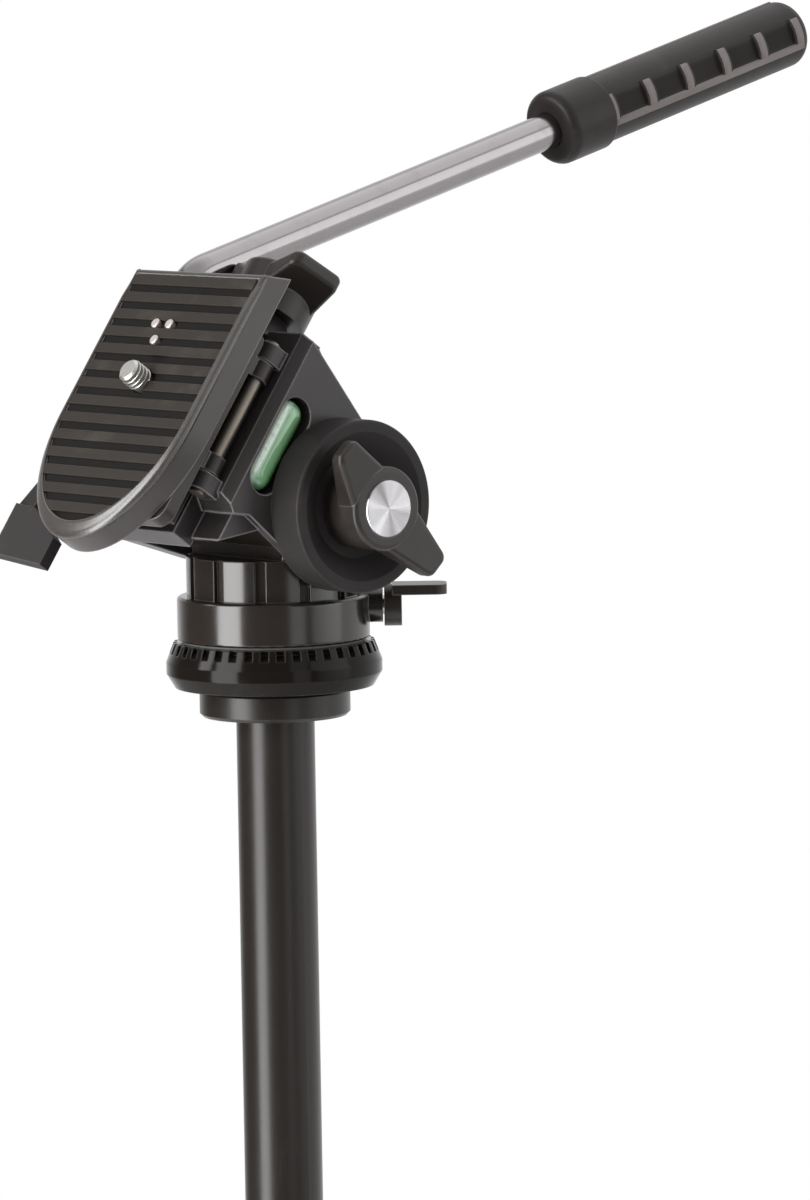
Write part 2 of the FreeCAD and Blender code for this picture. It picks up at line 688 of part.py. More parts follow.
def vial_window():
    """The oblong window in the side of the spirit level block."""
    half = VIAL_LENGTH / 2 + WINDOW_MARGIN
    radius = VIAL_R + WINDOW_MARGIN
    x = (VIAL_X - radius, DRUM_IN + 1)
    straight = half - radius
    middle = box(x, (VIAL_Y - straight, VIAL_Y + straight), (VIAL_Z - radius, VIAL_Z + radius))
    ends = [rod_x(radius, x, VIAL_Y + side * straight, VIAL_Z) for side in (-1, 1)]
    return fused(middle, *ends)


def level_vial():
    """The green spirit level vial, round at both ends, on its seat in the window."""
    straight = VIAL_LENGTH / 2 - VIAL_R
    y = (VIAL_Y - straight, VIAL_Y + straight)
    tube = rod_y(VIAL_R, y, VIAL_X, VIAL_Z)
    ends = [Part.makeSphere(VIAL_R, Vec(VIAL_X, end, VIAL_Z)) for end in y]
    seat_x = (VIAL_X - VIAL_R - WINDOW_MARGIN, VIAL_X)
    seat = box(seat_x, y, (VIAL_Z - VIAL_R / 3, VIAL_Z + VIAL_R / 3))
    return tilted(fused(tube, *ends, seat))


def tilt_drum():
    """The friction drum on the right cheek, with a dished face."""
    drum = rod_x(DRUM_R, (DRUM_IN, DRUM_OUT))
    outer = [e for e in drum.Edges if e.BoundBox.XLength < 1e-6 and e.BoundBox.XMax > DRUM_IN + 1]
    drum = drum.makeFillet(0.8, outer)
    dish_floor = Vec(DRUM_OUT - DRUM_DISH_DEPTH, 0, 0)
    dish = Part.makeCone(DRUM_DISH_R, DRUM_R - DRUM_RIM, DRUM_DISH_DEPTH + 0.01, dish_floor, X_DIR)
    drum = drum.cut(dish)
    return tilted(drum.cut(rod_x(AXLE_R + FIT, (DRUM_IN - 1, DRUM_OUT + 1))))


def tilt_lock_knob():
    """The T-knob on the end of the tilt axle."""
    knob = t_knob(KNOB_SPAN, KNOB_TIP_HALF)
    face = KNOB_DEPTH + KNOB_CAP_RIM
    knob = knob.cut(rod_x(CAP_R + FIT, (face - CAP_T + CAP_PROUD, face + 1)))
    knob = knob.cut(rod_x(AXLE_R + FIT, (-1, 7.1)))
    knob.rotate(Vec(0, 0, 0), X_DIR, KNOB_TURN)
    knob.translate(Vec(KNOB_SEAT, 0, TILT_HEIGHT))
    return on_head(knob)


def tilt_knob_cap():
    """The spun metal cap in the T-knob's face."""
    face = KNOB_SEAT + KNOB_DEPTH + KNOB_CAP_RIM
    cap = rod_x(CAP_R, (face - CAP_T + CAP_PROUD, face + CAP_PROUD), 0, TILT_HEIGHT)
    outer = [e for e in cap.Edges if e.BoundBox.XLength < 1e-6 and e.BoundBox.XMax > face]
    return on_head(cap.makeFillet(0.5, outer))


def side_tilt_knob():
    """The T-knob behind the cradle that locks the side tilt, with its screw."""
    knob = t_knob(REAR_KNOB_SPAN, REAR_KNOB_TIP_HALF)
    screw = rod_x(REAR_KNOB_SCREW_R, (-REAR_BOSS_END + CRADLE_REAR - REAR_KNOB_SCREW_IN, 1))
    knob = fused(knob, screw)
    knob.rotate(Vec(0, 0, 0), Z_DIR, 90)
    knob.rotate(Vec(0, 0, 0), Y_DIR, REAR_KNOB_TURN)
    knob.translate(Vec(REAR_BOSS_X, REAR_BOSS_END + KNOB_GAP, REAR_BOSS_Z))
    return tilted(knob)


def side_tilt_pin():
    """The bright steel rod that the platform flips on."""
    front = SIDE_PIN_FRONT - KNUCKLE_W - 0.8
    rear = SIDE_PIN_REAR + KNUCKLE_W + 0.8
    return tilted(rod_y(SIDE_PIN_R, (front, rear), SIDE_PIN_X, SIDE_PIN_Z))


def side_tilt_platform():
    """The platform that flips for portrait, with the slot for the plate's tongue."""
    flange = box(
        (PLATFORM_LEFT, PLATFORM_RIGHT),
        (PLATFORM_FRONT, PLATFORM_REAR),
        (FLANGE_BOTTOM, PLATFORM_TOP),
    )
    corners = [e for e in flange.Edges if e.BoundBox.ZLength > 1]
    flange = flange.makeFillet(PLATFORM_CORNER, corners)
    block = box(
        (PLATFORM_BLOCK_LEFT, PLATFORM_BLOCK_RIGHT),
        (-CRADLE_FRONT + 2, PLATFORM_BLOCK_REAR),
        (PLATFORM_BOTTOM, FLANGE_BOTTOM + 1),
    )
    body = fused(flange, block)
    for y in platform_knuckles():
        ring = rod_y(KNUCKLE_R, y, SIDE_PIN_X, SIDE_PIN_Z)
        arm = box((PLATFORM_BLOCK_RIGHT - 1, SIDE_PIN_X), y, (SIDE_PIN_Z - 1.5, SIDE_PIN_Z + KNUCKLE_R))
        post = box((SIDE_PIN_X - 2.5, SIDE_PIN_X + 1.5), y, (SIDE_PIN_Z, FLANGE_BOTTOM + 1))
        body = fused(body, ring, arm, post)
    lug_z = (PLATFORM_TOP - LEVER_LUG_T, PLATFORM_TOP)
    lug = rod_z(LEVER_HUB_R, lug_z, LEVER_PIVOT_X, LEVER_PIVOT_Y)
    web_y = (LEVER_PIVOT_Y - LEVER_HUB_R, LEVER_PIVOT_Y + LEVER_HUB_R)
    web = box((LEVER_PIVOT_X, PLATFORM_LEFT + 1), web_y, lug_z)
    body = fused(body, lug, web)
    slot = box(
        (-TONGUE_HALF_W - SLOT_GAP, TONGUE_HALF_W + SLOT_GAP),
        (TONGUE_FRONT - SLOT_GAP, TONGUE_REAR + SLOT_GAP),
        (PLATE_BOTTOM - TONGUE_H - 0.1, PLATFORM_TOP + 1),
    )
    pin_hole = rod_z(LEVER_PIN_R + FIT, (LEVER_Z0, REACH), LEVER_PIVOT_X, LEVER_PIVOT_Y)
    head_room = rod_z(SCREW_HEAD_R + 1.5, (PLATFORM_BOTTOM + 2, PLATFORM_TOP + 1), 0, SCREW_Y)
    return tilted(body.cut([slot, side_pin_bore(), pin_hole, head_room]))


def plate_lever():
    """The quick release lever at the front left, with its pivot pin."""
    hub = rod_z(LEVER_HUB_R, (LEVER_Z0, LEVER_Z1), LEVER_PIVOT_X, LEVER_PIVOT_Y)
    pin = rod_z(LEVER_PIN_R, (LEVER_Z1 - 1, PLATFORM_TOP - 0.3), LEVER_PIVOT_X, LEVER_PIVOT_Y)
    start = Vec(LEVER_PIVOT_X, LEVER_PIVOT_Y, 0)
    elbow = Vec(LEVER_ELBOW_X, LEVER_ELBOW_Y, 0)
    across = (elbow - start).normalize().cross(Z_DIR) * LEVER_ARM_HALF
    arm_foot = LEVER_Z0 + 0.4
    arm_points = [start + across, elbow + across, elbow - across, start - across]
    arm = prism([p + Vec(0, 0, arm_foot) for p in arm_points], Vec(0, 0, LEVER_Z1 - arm_foot))
    joint = rod_z(LEVER_ARM_HALF, (arm_foot, LEVER_Z1), LEVER_ELBOW_X, LEVER_ELBOW_Y)
    high = (LEVER_Z0 + LEVER_Z1 + PADDLE_RISE) / 2
    low = high - PADDLE_RISE
    section = [
        Vec(PADDLE_X0, PADDLE_Y1 + 3, high - PADDLE_T / 2),
        Vec(PADDLE_X1, PADDLE_Y1 + 3, low - PADDLE_T / 2),
        Vec(PADDLE_X1, PADDLE_Y1 + 3, low + PADDLE_T / 2),
        Vec(PADDLE_X0, PADDLE_Y1 + 3, high + PADDLE_T / 2),
    ]
    paddle = prism(section, Vec(0, PADDLE_Y0 - PADDLE_Y1 - 3, 0))
    trim = [
        Vec(PADDLE_X0, PADDLE_Y0, 0),
        Vec(PADDLE_X1, PADDLE_Y0, 0),
        Vec(PADDLE_X1, PADDLE_Y1 - 4, 0),
        Vec(LEVER_ELBOW_X + 4, PADDLE_Y1 + 3, 0),
        Vec(PADDLE_X0, PADDLE_Y1 + 3, 0),
    ]
    paddle = paddle.common(prism(trim, Vec(0, 0, REACH / 4)))
    return tilted(fused(hub, pin, arm, joint, paddle))


def d_outline(half_w, rear, straight, nose, z):
    """The plate's outline: square behind, drawn to an ellipse in front."""
    front_y = rear - straight
    centre, tip, side = Vec(0, front_y, z), Vec(0, front_y - nose, z), Vec(half_w, front_y, z)
    if nose >= half_w:
        arc = Part.Arc(Part.Ellipse(tip, side, centre), -math.pi / 2, math.pi / 2)
    else:
        arc = Part.Arc(Part.Ellipse(side, tip, centre), 0, math.pi)
    edge = arc.toShape()
    ends = sorted([v.Point for v in edge.Vertexes], key=lambda p: p.x)
    left, right = ends[0], ends[-1]
    sides = Part.makePolygon([right, Vec(half_w, rear, z), Vec(-half_w, rear, z), left])
    return Part.Face(Part.Wire([edge] + sides.Edges))


def plate_block(half_w, rear, straight, nose, z):
    """A block with the plate's outline between two heights."""
    return d_outline(half_w, rear, straight, nose, z[0]).extrude(Vec(0, 0, z[1] - z[0]))


def pad_block(z):
    """The pad's outline, set in from the plate's edge, between two heights."""
    rear = PLATE_REAR - PAD_SIDE_RIM
    straight = PLATE_STRAIGHT - PAD_SIDE_RIM
    nose = PLATE_NOSE - PAD_NOSE_RIM
    return plate_block(PLATE_HALF_W - PAD_SIDE_RIM, rear, straight, nose, z)


def quick_plate():
    """The D-shaped plate that stays on the camera, with its tongue and the pad's recess."""
    z = (PLATE_BOTTOM, PLATE_TOP)
    body = plate_block(PLATE_HALF_W, PLATE_REAR, PLATE_STRAIGHT, PLATE_NOSE, z)
    top = [e for e in body.Edges if abs(e.BoundBox.ZMin - PLATE_TOP) < 1e-6]
    body = body.makeFillet(PLATE_EDGE, top)
    wedge_points = [
        (PLATE_REAR - 1, PLATE_BOTTOM),
        (PLATE_REAR + PLATE_REAR_SLOPE, PLATE_BOTTOM),
        (PLATE_REAR, PLATE_TOP - PLATE_EDGE),
        (PLATE_REAR - 1, PLATE_TOP - PLATE_EDGE),
    ]
    wedge = profile_x(wedge_points, (-PLATE_HALF_W, PLATE_HALF_W))
    tongue_z = (PLATE_BOTTOM - TONGUE_H, PLATE_BOTTOM + 1)
    tongue = box((-TONGUE_HALF_W, TONGUE_HALF_W), (TONGUE_FRONT, TONGUE_REAR), tongue_z)
    body = fused(body, wedge, tongue)
    stem = rod_z(SCREW_R + FIT, (0, REACH), 0, SCREW_Y)
    head_z = (PLATE_BOTTOM - TONGUE_H - 1, PLATE_BOTTOM + 0.2)
    head = rod_z(SCREW_HEAD_R + RUN, head_z, 0, SCREW_Y)
    body = body.cut([pad_block((PLATE_TOP - PAD_SINK, REACH)), stem, head])
    return tilted(body.cut(pip_rods(PIP_R + FIT, PLATE_TOP - PAD_SINK - PIP_DEPTH)))


def pip_rods(radius, bottom):
    """Three small upright rods in a triangle behind the camera screw."""
    rods = []
    for index in range(3):
        angle = math.radians(-90 + 120 * index)
        x = PIP_X + PIP_CIRCLE_R * math.cos(angle)
        y = PIP_Y + PIP_CIRCLE_R * math.sin(angle)
        rods.append(rod_z(radius, (bottom, PAD_RIB_TOP + PIP_PROUD), x, y))
    return rods


def plate_pad():
    """The rubber pad with ribs across it."""
    pad = pad_block((PLATE_TOP - PAD_SINK, PAD_FLOOR))
    count = int((PLATE_STRAIGHT + PLATE_NOSE) / PAD_RIB_PITCH)
    ribs = []
    for index in range(count):
        y = PLATE_REAR - PAD_SIDE_RIM - 0.6 - index * PAD_RIB_PITCH
        ribs.append(box((-PLATE_HALF_W, PLATE_HALF_W), (y - PAD_RIB_W, y), (PAD_FLOOR - 0.2, PAD_RIB_TOP)))
    outline = pad_block((PLATE_TOP - PAD_SINK, PAD_RIB_TOP))
    ribs = [rib.common(outline) for rib in ribs]
    pad = fused(pad, *[rib for rib in ribs if rib.Volume > 1])
    holes = [rod_z(SCREW_R + RUN, (0, REACH), 0, SCREW_Y)] + pip_rods(PIP_R + FIT, 0)
    return tilted(pad.cut(holes))


def camera_screw():
    """The quarter inch camera screw, with its slotted head under the plate."""
    head_top = PLATE_BOTTOM + 0.1
    head = rod_z(SCREW_HEAD_R, (head_top - SCREW_HEAD_T, head_top), 0, SCREW_Y)
    neck = rod_z(SCREW_NECK_R, (head_top - 1, PAD_RIB_TOP + 1), 0, SCREW_Y)
    stud = rod_z(SCREW_R, (PAD_RIB_TOP, PAD_RIB_TOP + SCREW_PROUD), 0, SCREW_Y)
    tip = [e for e in stud.Edges if e.BoundBox.ZMin > PAD_RIB_TOP + SCREW_PROUD - 0.01]
    stud = stud.makeChamfer(0.6, tip)
    slot_z = (head_top - SCREW_HEAD_T - 1, head_top - SCREW_HEAD_T / 2)
    slot = box((-REACH / 4, REACH / 4), (SCREW_Y - 0.8, SCREW_Y + 0.8), slot_z)
    return tilted(fused(head, neck, stud).cut(slot))


def plate_pips():
    """Three small metal pips that keep the camera from turning."""
    pips = []
    for pip in pip_rods(PIP_R, PLATE_TOP - PAD_SINK - PIP_DEPTH + 0.1):
        top = [e for e in pip.Edges if e.BoundBox.ZLength < 1e-6 and e.BoundBox.ZMin > PAD_RIB_TOP]
        pips.append(tilted(pip.makeFillet(0.4, top)))
    return Part.makeCompound(pips)


def handle_frame():
    """The bend's two tangent points and the direction after it, level, at the socket."""
    setback = HANDLE_BEND_R * math.tan(math.radians(HANDLE_BEND / 2))
    corner = Vec(SOCKET_X, HANDLE_BEND_Y, SOCKET_Z)
    angle = math.radians(HANDLE_BEND)
    after = Vec(0, math.cos(angle), -math.sin(angle))
    return corner, setback, after


def bent_bar(radius):
    """A bar of the handle's route: root, bend and straight."""
    corner, setback, after = handle_frame()
    start = Vec(SOCKET_X, SOCKET_START - 0.5, SOCKET_Z)
    before_bend = corner - Y_DIR * setback
    after_bend = corner + after * setback
    centre = before_bend - Z_DIR * HANDLE_BEND_R
    middle = centre + (corner - centre).normalize() * HANDLE_BEND_R
    end = corner + after * HANDLE_STRAIGHT
    edges = [
        Part.LineSegment(start, before_bend).toShape(),
        Part.Arc(before_bend, middle, after_bend).toShape(),
        Part.LineSegment(after_bend, end).toShape(),
    ]
    circle = Part.Wire(Part.makeCircle(radius, start, Y_DIR))
    return Part.Wire(edges).makePipeShell([circle], True, False)


def handle_tube():
    """The chromed handle tube, bent just behind its socket."""
    return tilted(bent_bar(HANDLE_R).cut(bent_bar(HANDLE_R - HANDLE_WALL)))


def along_handle(shape):
    """Moves a shape drawn up the Z axis onto the handle's straight part."""
    corner, _, after = handle_frame()
    shape = shape.copy()
    shape.rotate(Vec(0, 0, 0), X_DIR, -90 - HANDLE_BEND)
    shape.translate(corner)
    return tilted(shape)


def handle_grip():
    """The rubber grip: a thicker front collar, rounded ends and a row of recessed pads."""
    end = GRIP_START + GRIP_LENGTH
    barrel = rod_z(GRIP_R, (GRIP_START + GRIP_COLLAR_L - 1, end))
    barrel = barrel.makeFillet(4.0, [e for e in barrel.Edges if e.BoundBox.ZMin > end - 0.01])
    collar = rod_z(GRIP_COLLAR_R, (GRIP_START, GRIP_START + GRIP_COLLAR_L))
    collar = collar.makeFillet(3.0, [e for e in collar.Edges if e.BoundBox.ZMax < GRIP_START + 0.01])
    collar_back = [e for e in collar.Edges if e.BoundBox.ZMin > GRIP_START + GRIP_COLLAR_L - 0.01]
    collar = collar.makeFillet(0.9, collar_back)
    grip = fused(barrel, collar)
    pockets = []
    for row in range(3):
        for index in range(round(GRIP_POCKETS)):
            z = GRIP_START + GRIP_COLLAR_L + GRIP_POCKET_GAP / 2 + index * GRIP_POCKET_PITCH
            across = (-GRIP_POCKET_W / 2, GRIP_POCKET_W / 2)
            along = (z, z + GRIP_POCKET_PITCH - GRIP_POCKET_GAP)
            pocket = box((GRIP_R - GRIP_POCKET_DEPTH, GRIP_R + 2), across, along)
            pocket.rotate(Vec(0, 0, 0), Z_DIR, 120.0 * row + GRIP_POCKET_TURN)
            pockets.append(pocket)
    grip = grip.cut(pockets)
    hole = rod_z(HANDLE_R + FIT, (GRIP_START - 1, HANDLE_STRAIGHT + 0.3))
    return along_handle(grip.cut(hole))


def handle_nut():
    """The nut that clamps the handle's root to the cradle."""
    end = SOCKET_END + NUT_H
    nut = rod_y(NUT_R, (SOCKET_END, end), SOCKET_X, SOCKET_Z)
    nut = nut.makeChamfer(0.8, [e for e in nut.Edges if e.BoundBox.YMin > end - 0.01])
    root = rod_y(HANDLE_R + FIT, (SOCKET_END - 1, end + 1), SOCKET_X, SOCKET_Z)
    return tilted(nut.cut([root, bent_bar(HANDLE_R + FIT)]))


def crown_arm():
    """One arm of the crown toward +X, forked for the leg's tongue."""
    arm_z = (HINGE_HEIGHT - LUG_R, HINGE_HEIGHT + LUG_R)
    arm = box((CROWN_R - 6, HINGE_RADIUS), (-LUG_HALF_W, LUG_HALF_W), arm_z)
    lug = rod_y(LUG_R, (-LUG_HALF_W, LUG_HALF_W), HINGE_RADIUS, HINGE_HEIGHT)
    arm = fused(arm, lug)
    half = TONGUE_W / 2 + RUN
    slot_start = HINGE_RADIUS - LEG_KNUCKLE_R - 1.0
    slot = box((slot_start, REACH), (-half, half), (0, REACH * 2))
    bore = rod_y(HINGE_PIN_R + FIT, (-REACH, REACH), HINGE_RADIUS, HINGE_HEIGHT)
    return arm.cut([slot, bore])


def leg_crown():
    """The casting that joins the three legs and guides the column."""
    body = rod_z(CROWN_R, (CROWN_BOTTOM, CROWN_TOP))
    body = body.makeFillet(2.0, [e for e in body.Edges if e.BoundBox.ZLength < 1e-6])
    for azimuth in LEG_AZIMUTHS:
        arm = crown_arm()
        arm.rotate(Vec(0, 0, 0), Z_DIR, azimuth)
        body = fused(body, arm)
    neck = rod_z(COLLET_R + THREAD_WALL, (CROWN_TOP - 3, CROWN_TOP + THREAD_H))
    guide = rod_z(COLUMN_R + RUN, (0, REACH * 2))
    collet_seat = rod_z(COLLET_R + FIT, (COLLET_BOTTOM, REACH * 2))
    return fused(body, neck).cut([guide, collet_seat])


def column_collet():
    """The split plastic sleeve that grips the column."""
    collet = tube_z(COLLET_R, COLUMN_R + RUN, (COLLET_BOTTOM, COLLAR_TOP - COLLET_BELOW_TOP))
    slit = box((0, REACH), (-COLLET_SLIT / 2, COLLET_SLIT / 2), (COLLET_BOTTOM + 6, REACH * 2))
    return collet.cut(around(slit, 4, 45.0))


def column_lock_collar():
    """The ribbed twist collar that squeezes the collet."""
    body = rod_z(COLLAR_R - COLLAR_RIB_R / 2, (CROWN_TOP + RUN, COLLAR_TOP))
    body = body.makeFillet(1.5, [e for e in body.Edges if e.BoundBox.ZLength < 1e-6])
    rib = rod_z(COLLAR_RIB_R, (CROWN_TOP + 2.0, COLLAR_TOP - 2.5), COLLAR_R - COLLAR_RIB_R / 2)
    body = fused(body, *around(rib, COLLAR_RIBS))
    thread = rod_z(COLLET_R + THREAD_WALL + RUN, (CROWN_TOP - 1, CROWN_TOP + THREAD_H + RUN))
    bore = rod_z(COLLET_R + RUN, (CROWN_TOP, COLLAR_TOP - COLLET_BELOW_TOP + RUN))
    return body.cut([thread, bore, rod_z(COLUMN_R + RUN, (0, REACH * 2))])


def leg_hinge_pins():
    """The three steel pins that the legs swing on."""
    pins = []
    for azimuth in LEG_AZIMUTHS:
        outer = LUG_HALF_W + HINGE_PIN_HEAD_T
        shaft = rod_y(HINGE_PIN_R, (-outer, outer), HINGE_RADIUS, HINGE_HEIGHT)
        heads = []
        for y in ((-outer, -LUG_HALF_W), (LUG_HALF_W, outer)):
            heads.append(rod_y(HINGE_PIN_HEAD_R, y, HINGE_RADIUS, HINGE_HEIGHT))
        pin = fused(shaft, *heads)
        pin.rotate(Vec(0, 0, 0), Z_DIR, azimuth)
        pins.append(pin)
    return Part.makeCompound(pins)


def on_leg(shape, azimuth):
    """Swings a shape drawn down from the hinge out to the leg's spread and azimuth."""
    shape = shape.copy()
    shape.rotate(Vec(0, 0, 0), Y_DIR, -SPREAD)
    shape.translate(Vec(HINGE_RADIUS, 0, HINGE_HEIGHT))
    shape.rotate(Vec(0, 0, 0), Z_DIR, azimuth)
    return shape


def down(start, end):
    """Heights below the hinge, as a span for upright bars."""
    return -end, -start


def leg_top():
    """The casting at the top of a leg: hinge tongue and tube socket."""
    half = TONGUE_W / 2
    tongue = rod_y(LEG_KNUCKLE_R, (-half, half))
    web = box((-LEG_KNUCKLE_R, LEG_KNUCKLE_R), (-half, half), down(0, SOCKET_TOP + 1))
    socket = rod_z(LEG_SOCKET_R, down(SOCKET_TOP, SOCKET_BOTTOM))
    socket = socket.makeFillet(1.5, [e for e in socket.Edges if e.BoundBox.ZLength < 1e-6])
    body = fused(tongue, web, socket)
    seat = rod_z(UPPER_R + FIT, down(UPPER_START, SOCKET_BOTTOM + 1))
    return body.cut([seat, rod_y(HINGE_PIN_R + FIT, (-REACH, REACH))])


def leg_tube(radius, wall, start, end):
    """A leg tube."""
    return tube_z(radius, radius - wall, down(start, end))


def flip_pivot(lock_r):
    """The flip lever's pivot beside a lock collar."""
    angle = math.radians(FLIP_AT)
    distance = lock_r + FLIP_KNUCKLE_R + FLIP_GAP
    return distance * math.cos(angle), distance * math.sin(angle)


def lock_collar(lock_r, span, outer_seat, inner_bore):
    """A lock collar on the end of a tube, with two ears for its flip lever."""
    start, end = span
    body = rod_z(lock_r, down(start, end))
    body = body.makeFillet(1.0, [e for e in body.Edges if e.BoundBox.ZLength < 1e-6])
    px, py = flip_pivot(lock_r)
    ears = []
    for z in (down(start, start + FLIP_EAR_T), down(end - FLIP_EAR_T, end)):
        ears.append(rod_z(FLIP_KNUCKLE_R, z, px, py))
        side = Vec(-py, px, 0).normalize() * FLIP_KNUCKLE_R
        corner = Vec(px, py, z[0])
        root = Vec(px, py, 0) * 0.6 + Vec(0, 0, z[0])
        outline = [corner + side, corner - side, root - side, root + side]
        ears.append(prism(outline, Vec(0, 0, z[1] - z[0])))
    body = fused(body, *ears)
    seat_r, seat_end = outer_seat
    seat = rod_z(seat_r + FIT, down(start - 1, seat_end))
    through = down(start - 1, end + 1)
    return body.cut([seat, rod_z(inner_bore, through), rod_z(FLIP_PIN_R + FIT, through, px, py)])


def flip_lever(lock_r, span):
    """A flip lever that hugs its lock collar, with its pivot pin."""
    start, end = span[0] + FLIP_EAR_T + RUN, span[1] - FLIP_EAR_T - RUN
    inner = lock_r + FLIP_GAP
    arc = tube_z(inner + FLIP_T, inner, down(start, end))
    reach = (inner + FLIP_T) * 2
    first = math.radians(FLIP_AT + 4.0)
    last = math.radians(FLIP_AT + FLIP_ARC)
    middle = (first + last) / 2
    wedge = [Vec(0, 0, -end - 1)]
    for angle in (first, middle, last):
        wedge.append(Vec(reach * math.cos(angle), reach * math.sin(angle), -end - 1))
    arc = arc.common(prism(wedge, Vec(0, 0, end - start + 2)))
    px, py = flip_pivot(lock_r)
    hub = rod_z(FLIP_KNUCKLE_R, down(start, end), px, py)
    pin = rod_z(FLIP_PIN_R, down(span[0] + 0.3, span[1] - 0.3), px, py)
    tip_out = inner + FLIP_T / 2 + 0.6
    tip = rod_z(FLIP_T / 2 + 0.5, down(start, end), tip_out * math.cos(last), tip_out * math.sin(last))
    return fused(hub, arc, tip, pin)


def leg_foot():
    """The rubber foot, rounded, with a flat where it stands."""
    ball = Part.makeSphere(FOOT_R, Vec(0, 0, -FOOT_CENTRE))
    sleeve = rod_z(FOOT_NECK_R, down(FOOT_START, FOOT_CENTRE))
    sleeve = sleeve.makeFillet(1.2, [e for e in sleeve.Edges if e.BoundBox.ZMin > -FOOT_START - 0.01])
    return fused(ball, sleeve).cut(rod_z(LOWER_R + FIT, down(FOOT_START - 1, LOWER_END + 0.1)))


def leg_nodes(name, azimuth):
    """The nine nodes of one leg."""
    lock_1 = (LOCK_1_START, LOCK_1_END)
    lock_2 = (LOCK_2_START, LOCK_2_END)
    shapes = {
        "top": leg_top(),
        "upper_tube": leg_tube(UPPER_R, UPPER_WALL, UPPER_START, UPPER_END),
        "upper_lock": lock_collar(LOCK_1_R, lock_1, (UPPER_R, UPPER_END), MIDDLE_R + RUN),
        "upper_lever": flip_lever(LOCK_1_R, lock_1),
        "middle_tube": leg_tube(MIDDLE_R, MIDDLE_WALL, MIDDLE_START, MIDDLE_END),
        "lower_lock": lock_collar(LOCK_2_R, lock_2, (MIDDLE_R, MIDDLE_END), LOWER_R + RUN),
        "lower_lever": flip_lever(LOCK_2_R, lock_2),
        "lower_tube": leg_tube(LOWER_R, LOWER_WALL, LOWER_START, LOWER_END),
    }
    nodes = {f"{name}_leg_{part}": on_leg(shape, azimuth) for part, shape in shapes.items()}
    floor_cut = box((-REACH, REACH), (-REACH, REACH), (-REACH, 0))
    nodes[f"{name}_leg_foot"] = on_leg(leg_foot(), azimuth).cut(floor_cut)
    return nodes


def head_nodes():
    """The nodes of the head and column, by name."""
    makers = [
        centre_column, column_end_cap, column_hub, head_stud, pan_ring, pan_pivot, pan_washer,
        pan_housing, pan_lock_screw, pan_lock_lever, tilt_axle, tilt_washers, tilt_cradle, level_vial,
        tilt_drum, tilt_lock_knob, tilt_knob_cap, side_tilt_knob, side_tilt_pin, side_tilt_platform,
        plate_lever, quick_plate, plate_pad, camera_screw, plate_pips, handle_tube, handle_grip,
        handle_nut, leg_crown, column_collet, column_lock_collar, leg_hinge_pins,
    ]
    return {maker.__name__: maker() for maker in makers}


def main():
    """Writes one STEP file per node."""
    os.makedirs("parts", exist_ok=True)
    nodes = head_nodes()
    for name, azimuth in zip(LEG_NAMES, LEG_AZIMUTHS):
        nodes.update(leg_nodes(name, azimuth))
    for name, shape in nodes.items():
        solids = len(shape.Solids)
        print(f"{name}: {solids} solid(s), {shape.Volume:.0f} mm3, valid {shape.isValid()}")
        shape.exportStep(f"parts/{name}.step")


main()
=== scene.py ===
"""Looks of a camera tripod with a three-way pan and tilt head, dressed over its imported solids."""

import json
import logging
import math
from dataclasses import dataclass
from enum import Enum
from functools import cache

import bmesh
import bpy
from mathutils import Matrix, Vector

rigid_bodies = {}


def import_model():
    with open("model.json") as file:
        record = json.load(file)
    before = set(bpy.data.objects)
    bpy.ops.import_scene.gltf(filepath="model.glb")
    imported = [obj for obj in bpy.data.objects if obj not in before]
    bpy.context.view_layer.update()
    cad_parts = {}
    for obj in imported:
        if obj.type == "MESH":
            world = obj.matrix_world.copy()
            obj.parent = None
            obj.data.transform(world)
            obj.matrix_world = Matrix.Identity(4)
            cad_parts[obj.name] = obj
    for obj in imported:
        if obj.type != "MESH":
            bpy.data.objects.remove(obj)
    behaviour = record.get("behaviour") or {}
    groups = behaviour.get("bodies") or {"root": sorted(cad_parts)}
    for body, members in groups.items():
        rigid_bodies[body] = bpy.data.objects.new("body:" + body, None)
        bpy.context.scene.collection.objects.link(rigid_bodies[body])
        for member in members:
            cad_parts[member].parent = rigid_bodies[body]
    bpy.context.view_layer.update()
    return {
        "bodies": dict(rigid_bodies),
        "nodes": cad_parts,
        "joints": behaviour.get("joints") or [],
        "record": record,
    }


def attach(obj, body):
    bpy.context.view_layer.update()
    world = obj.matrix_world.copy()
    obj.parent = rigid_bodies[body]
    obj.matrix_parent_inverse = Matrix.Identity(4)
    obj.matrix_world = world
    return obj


LOG = logging.getLogger("tripod")

Colour = tuple[float, float, float]
Point = tuple[float, float, float]
Span = tuple[float, float]
Rings = list[list[Vector]]

MM = 0.001
ORIGIN = (0.0, 0.0, 0.0)
HEAD_HEIGHT = 0.596
TILT_HEIGHT = 0.6273
TILT_REST = math.radians(54.48)
VIAL_CENTRE = (22.6 * MM, 2.4 * MM, 25.0 * MM)
VIAL_RADIUS = 4.4 * MM
HANDLE_CORNER = (-22.0 * MM, 43.4 * MM, 39.4 * MM)
HANDLE_BEND = math.radians(39.2)
LEGS = {"front": -90.0, "left": 30.0, "right": 150.0}
LEG_SPREAD = math.radians(24.0)
HINGE_RADIUS = 0.035
HINGE_HEIGHT = 0.392


def tilt_place() -> Matrix:
    """From the tilting parts' level frame to the row frame at rest."""
    return Matrix.Translation((0.0, 0.0, TILT_HEIGHT)) @ Matrix.Rotation(TILT_REST, 4, "X")


def tilt_point(x: float, y: float, z: float) -> Point:
    """Where a point of the tilting parts' level frame (right, rear and up) lies at rest."""
    return tuple(tilt_place() @ Vector((x, y, z)))


def tilt_direction(x: float, y: float, z: float) -> Point:
    """A direction of the tilting parts' level frame, in the row frame at rest."""
    return tuple(tilt_place().to_3x3() @ Vector((x, y, z)).normalized())


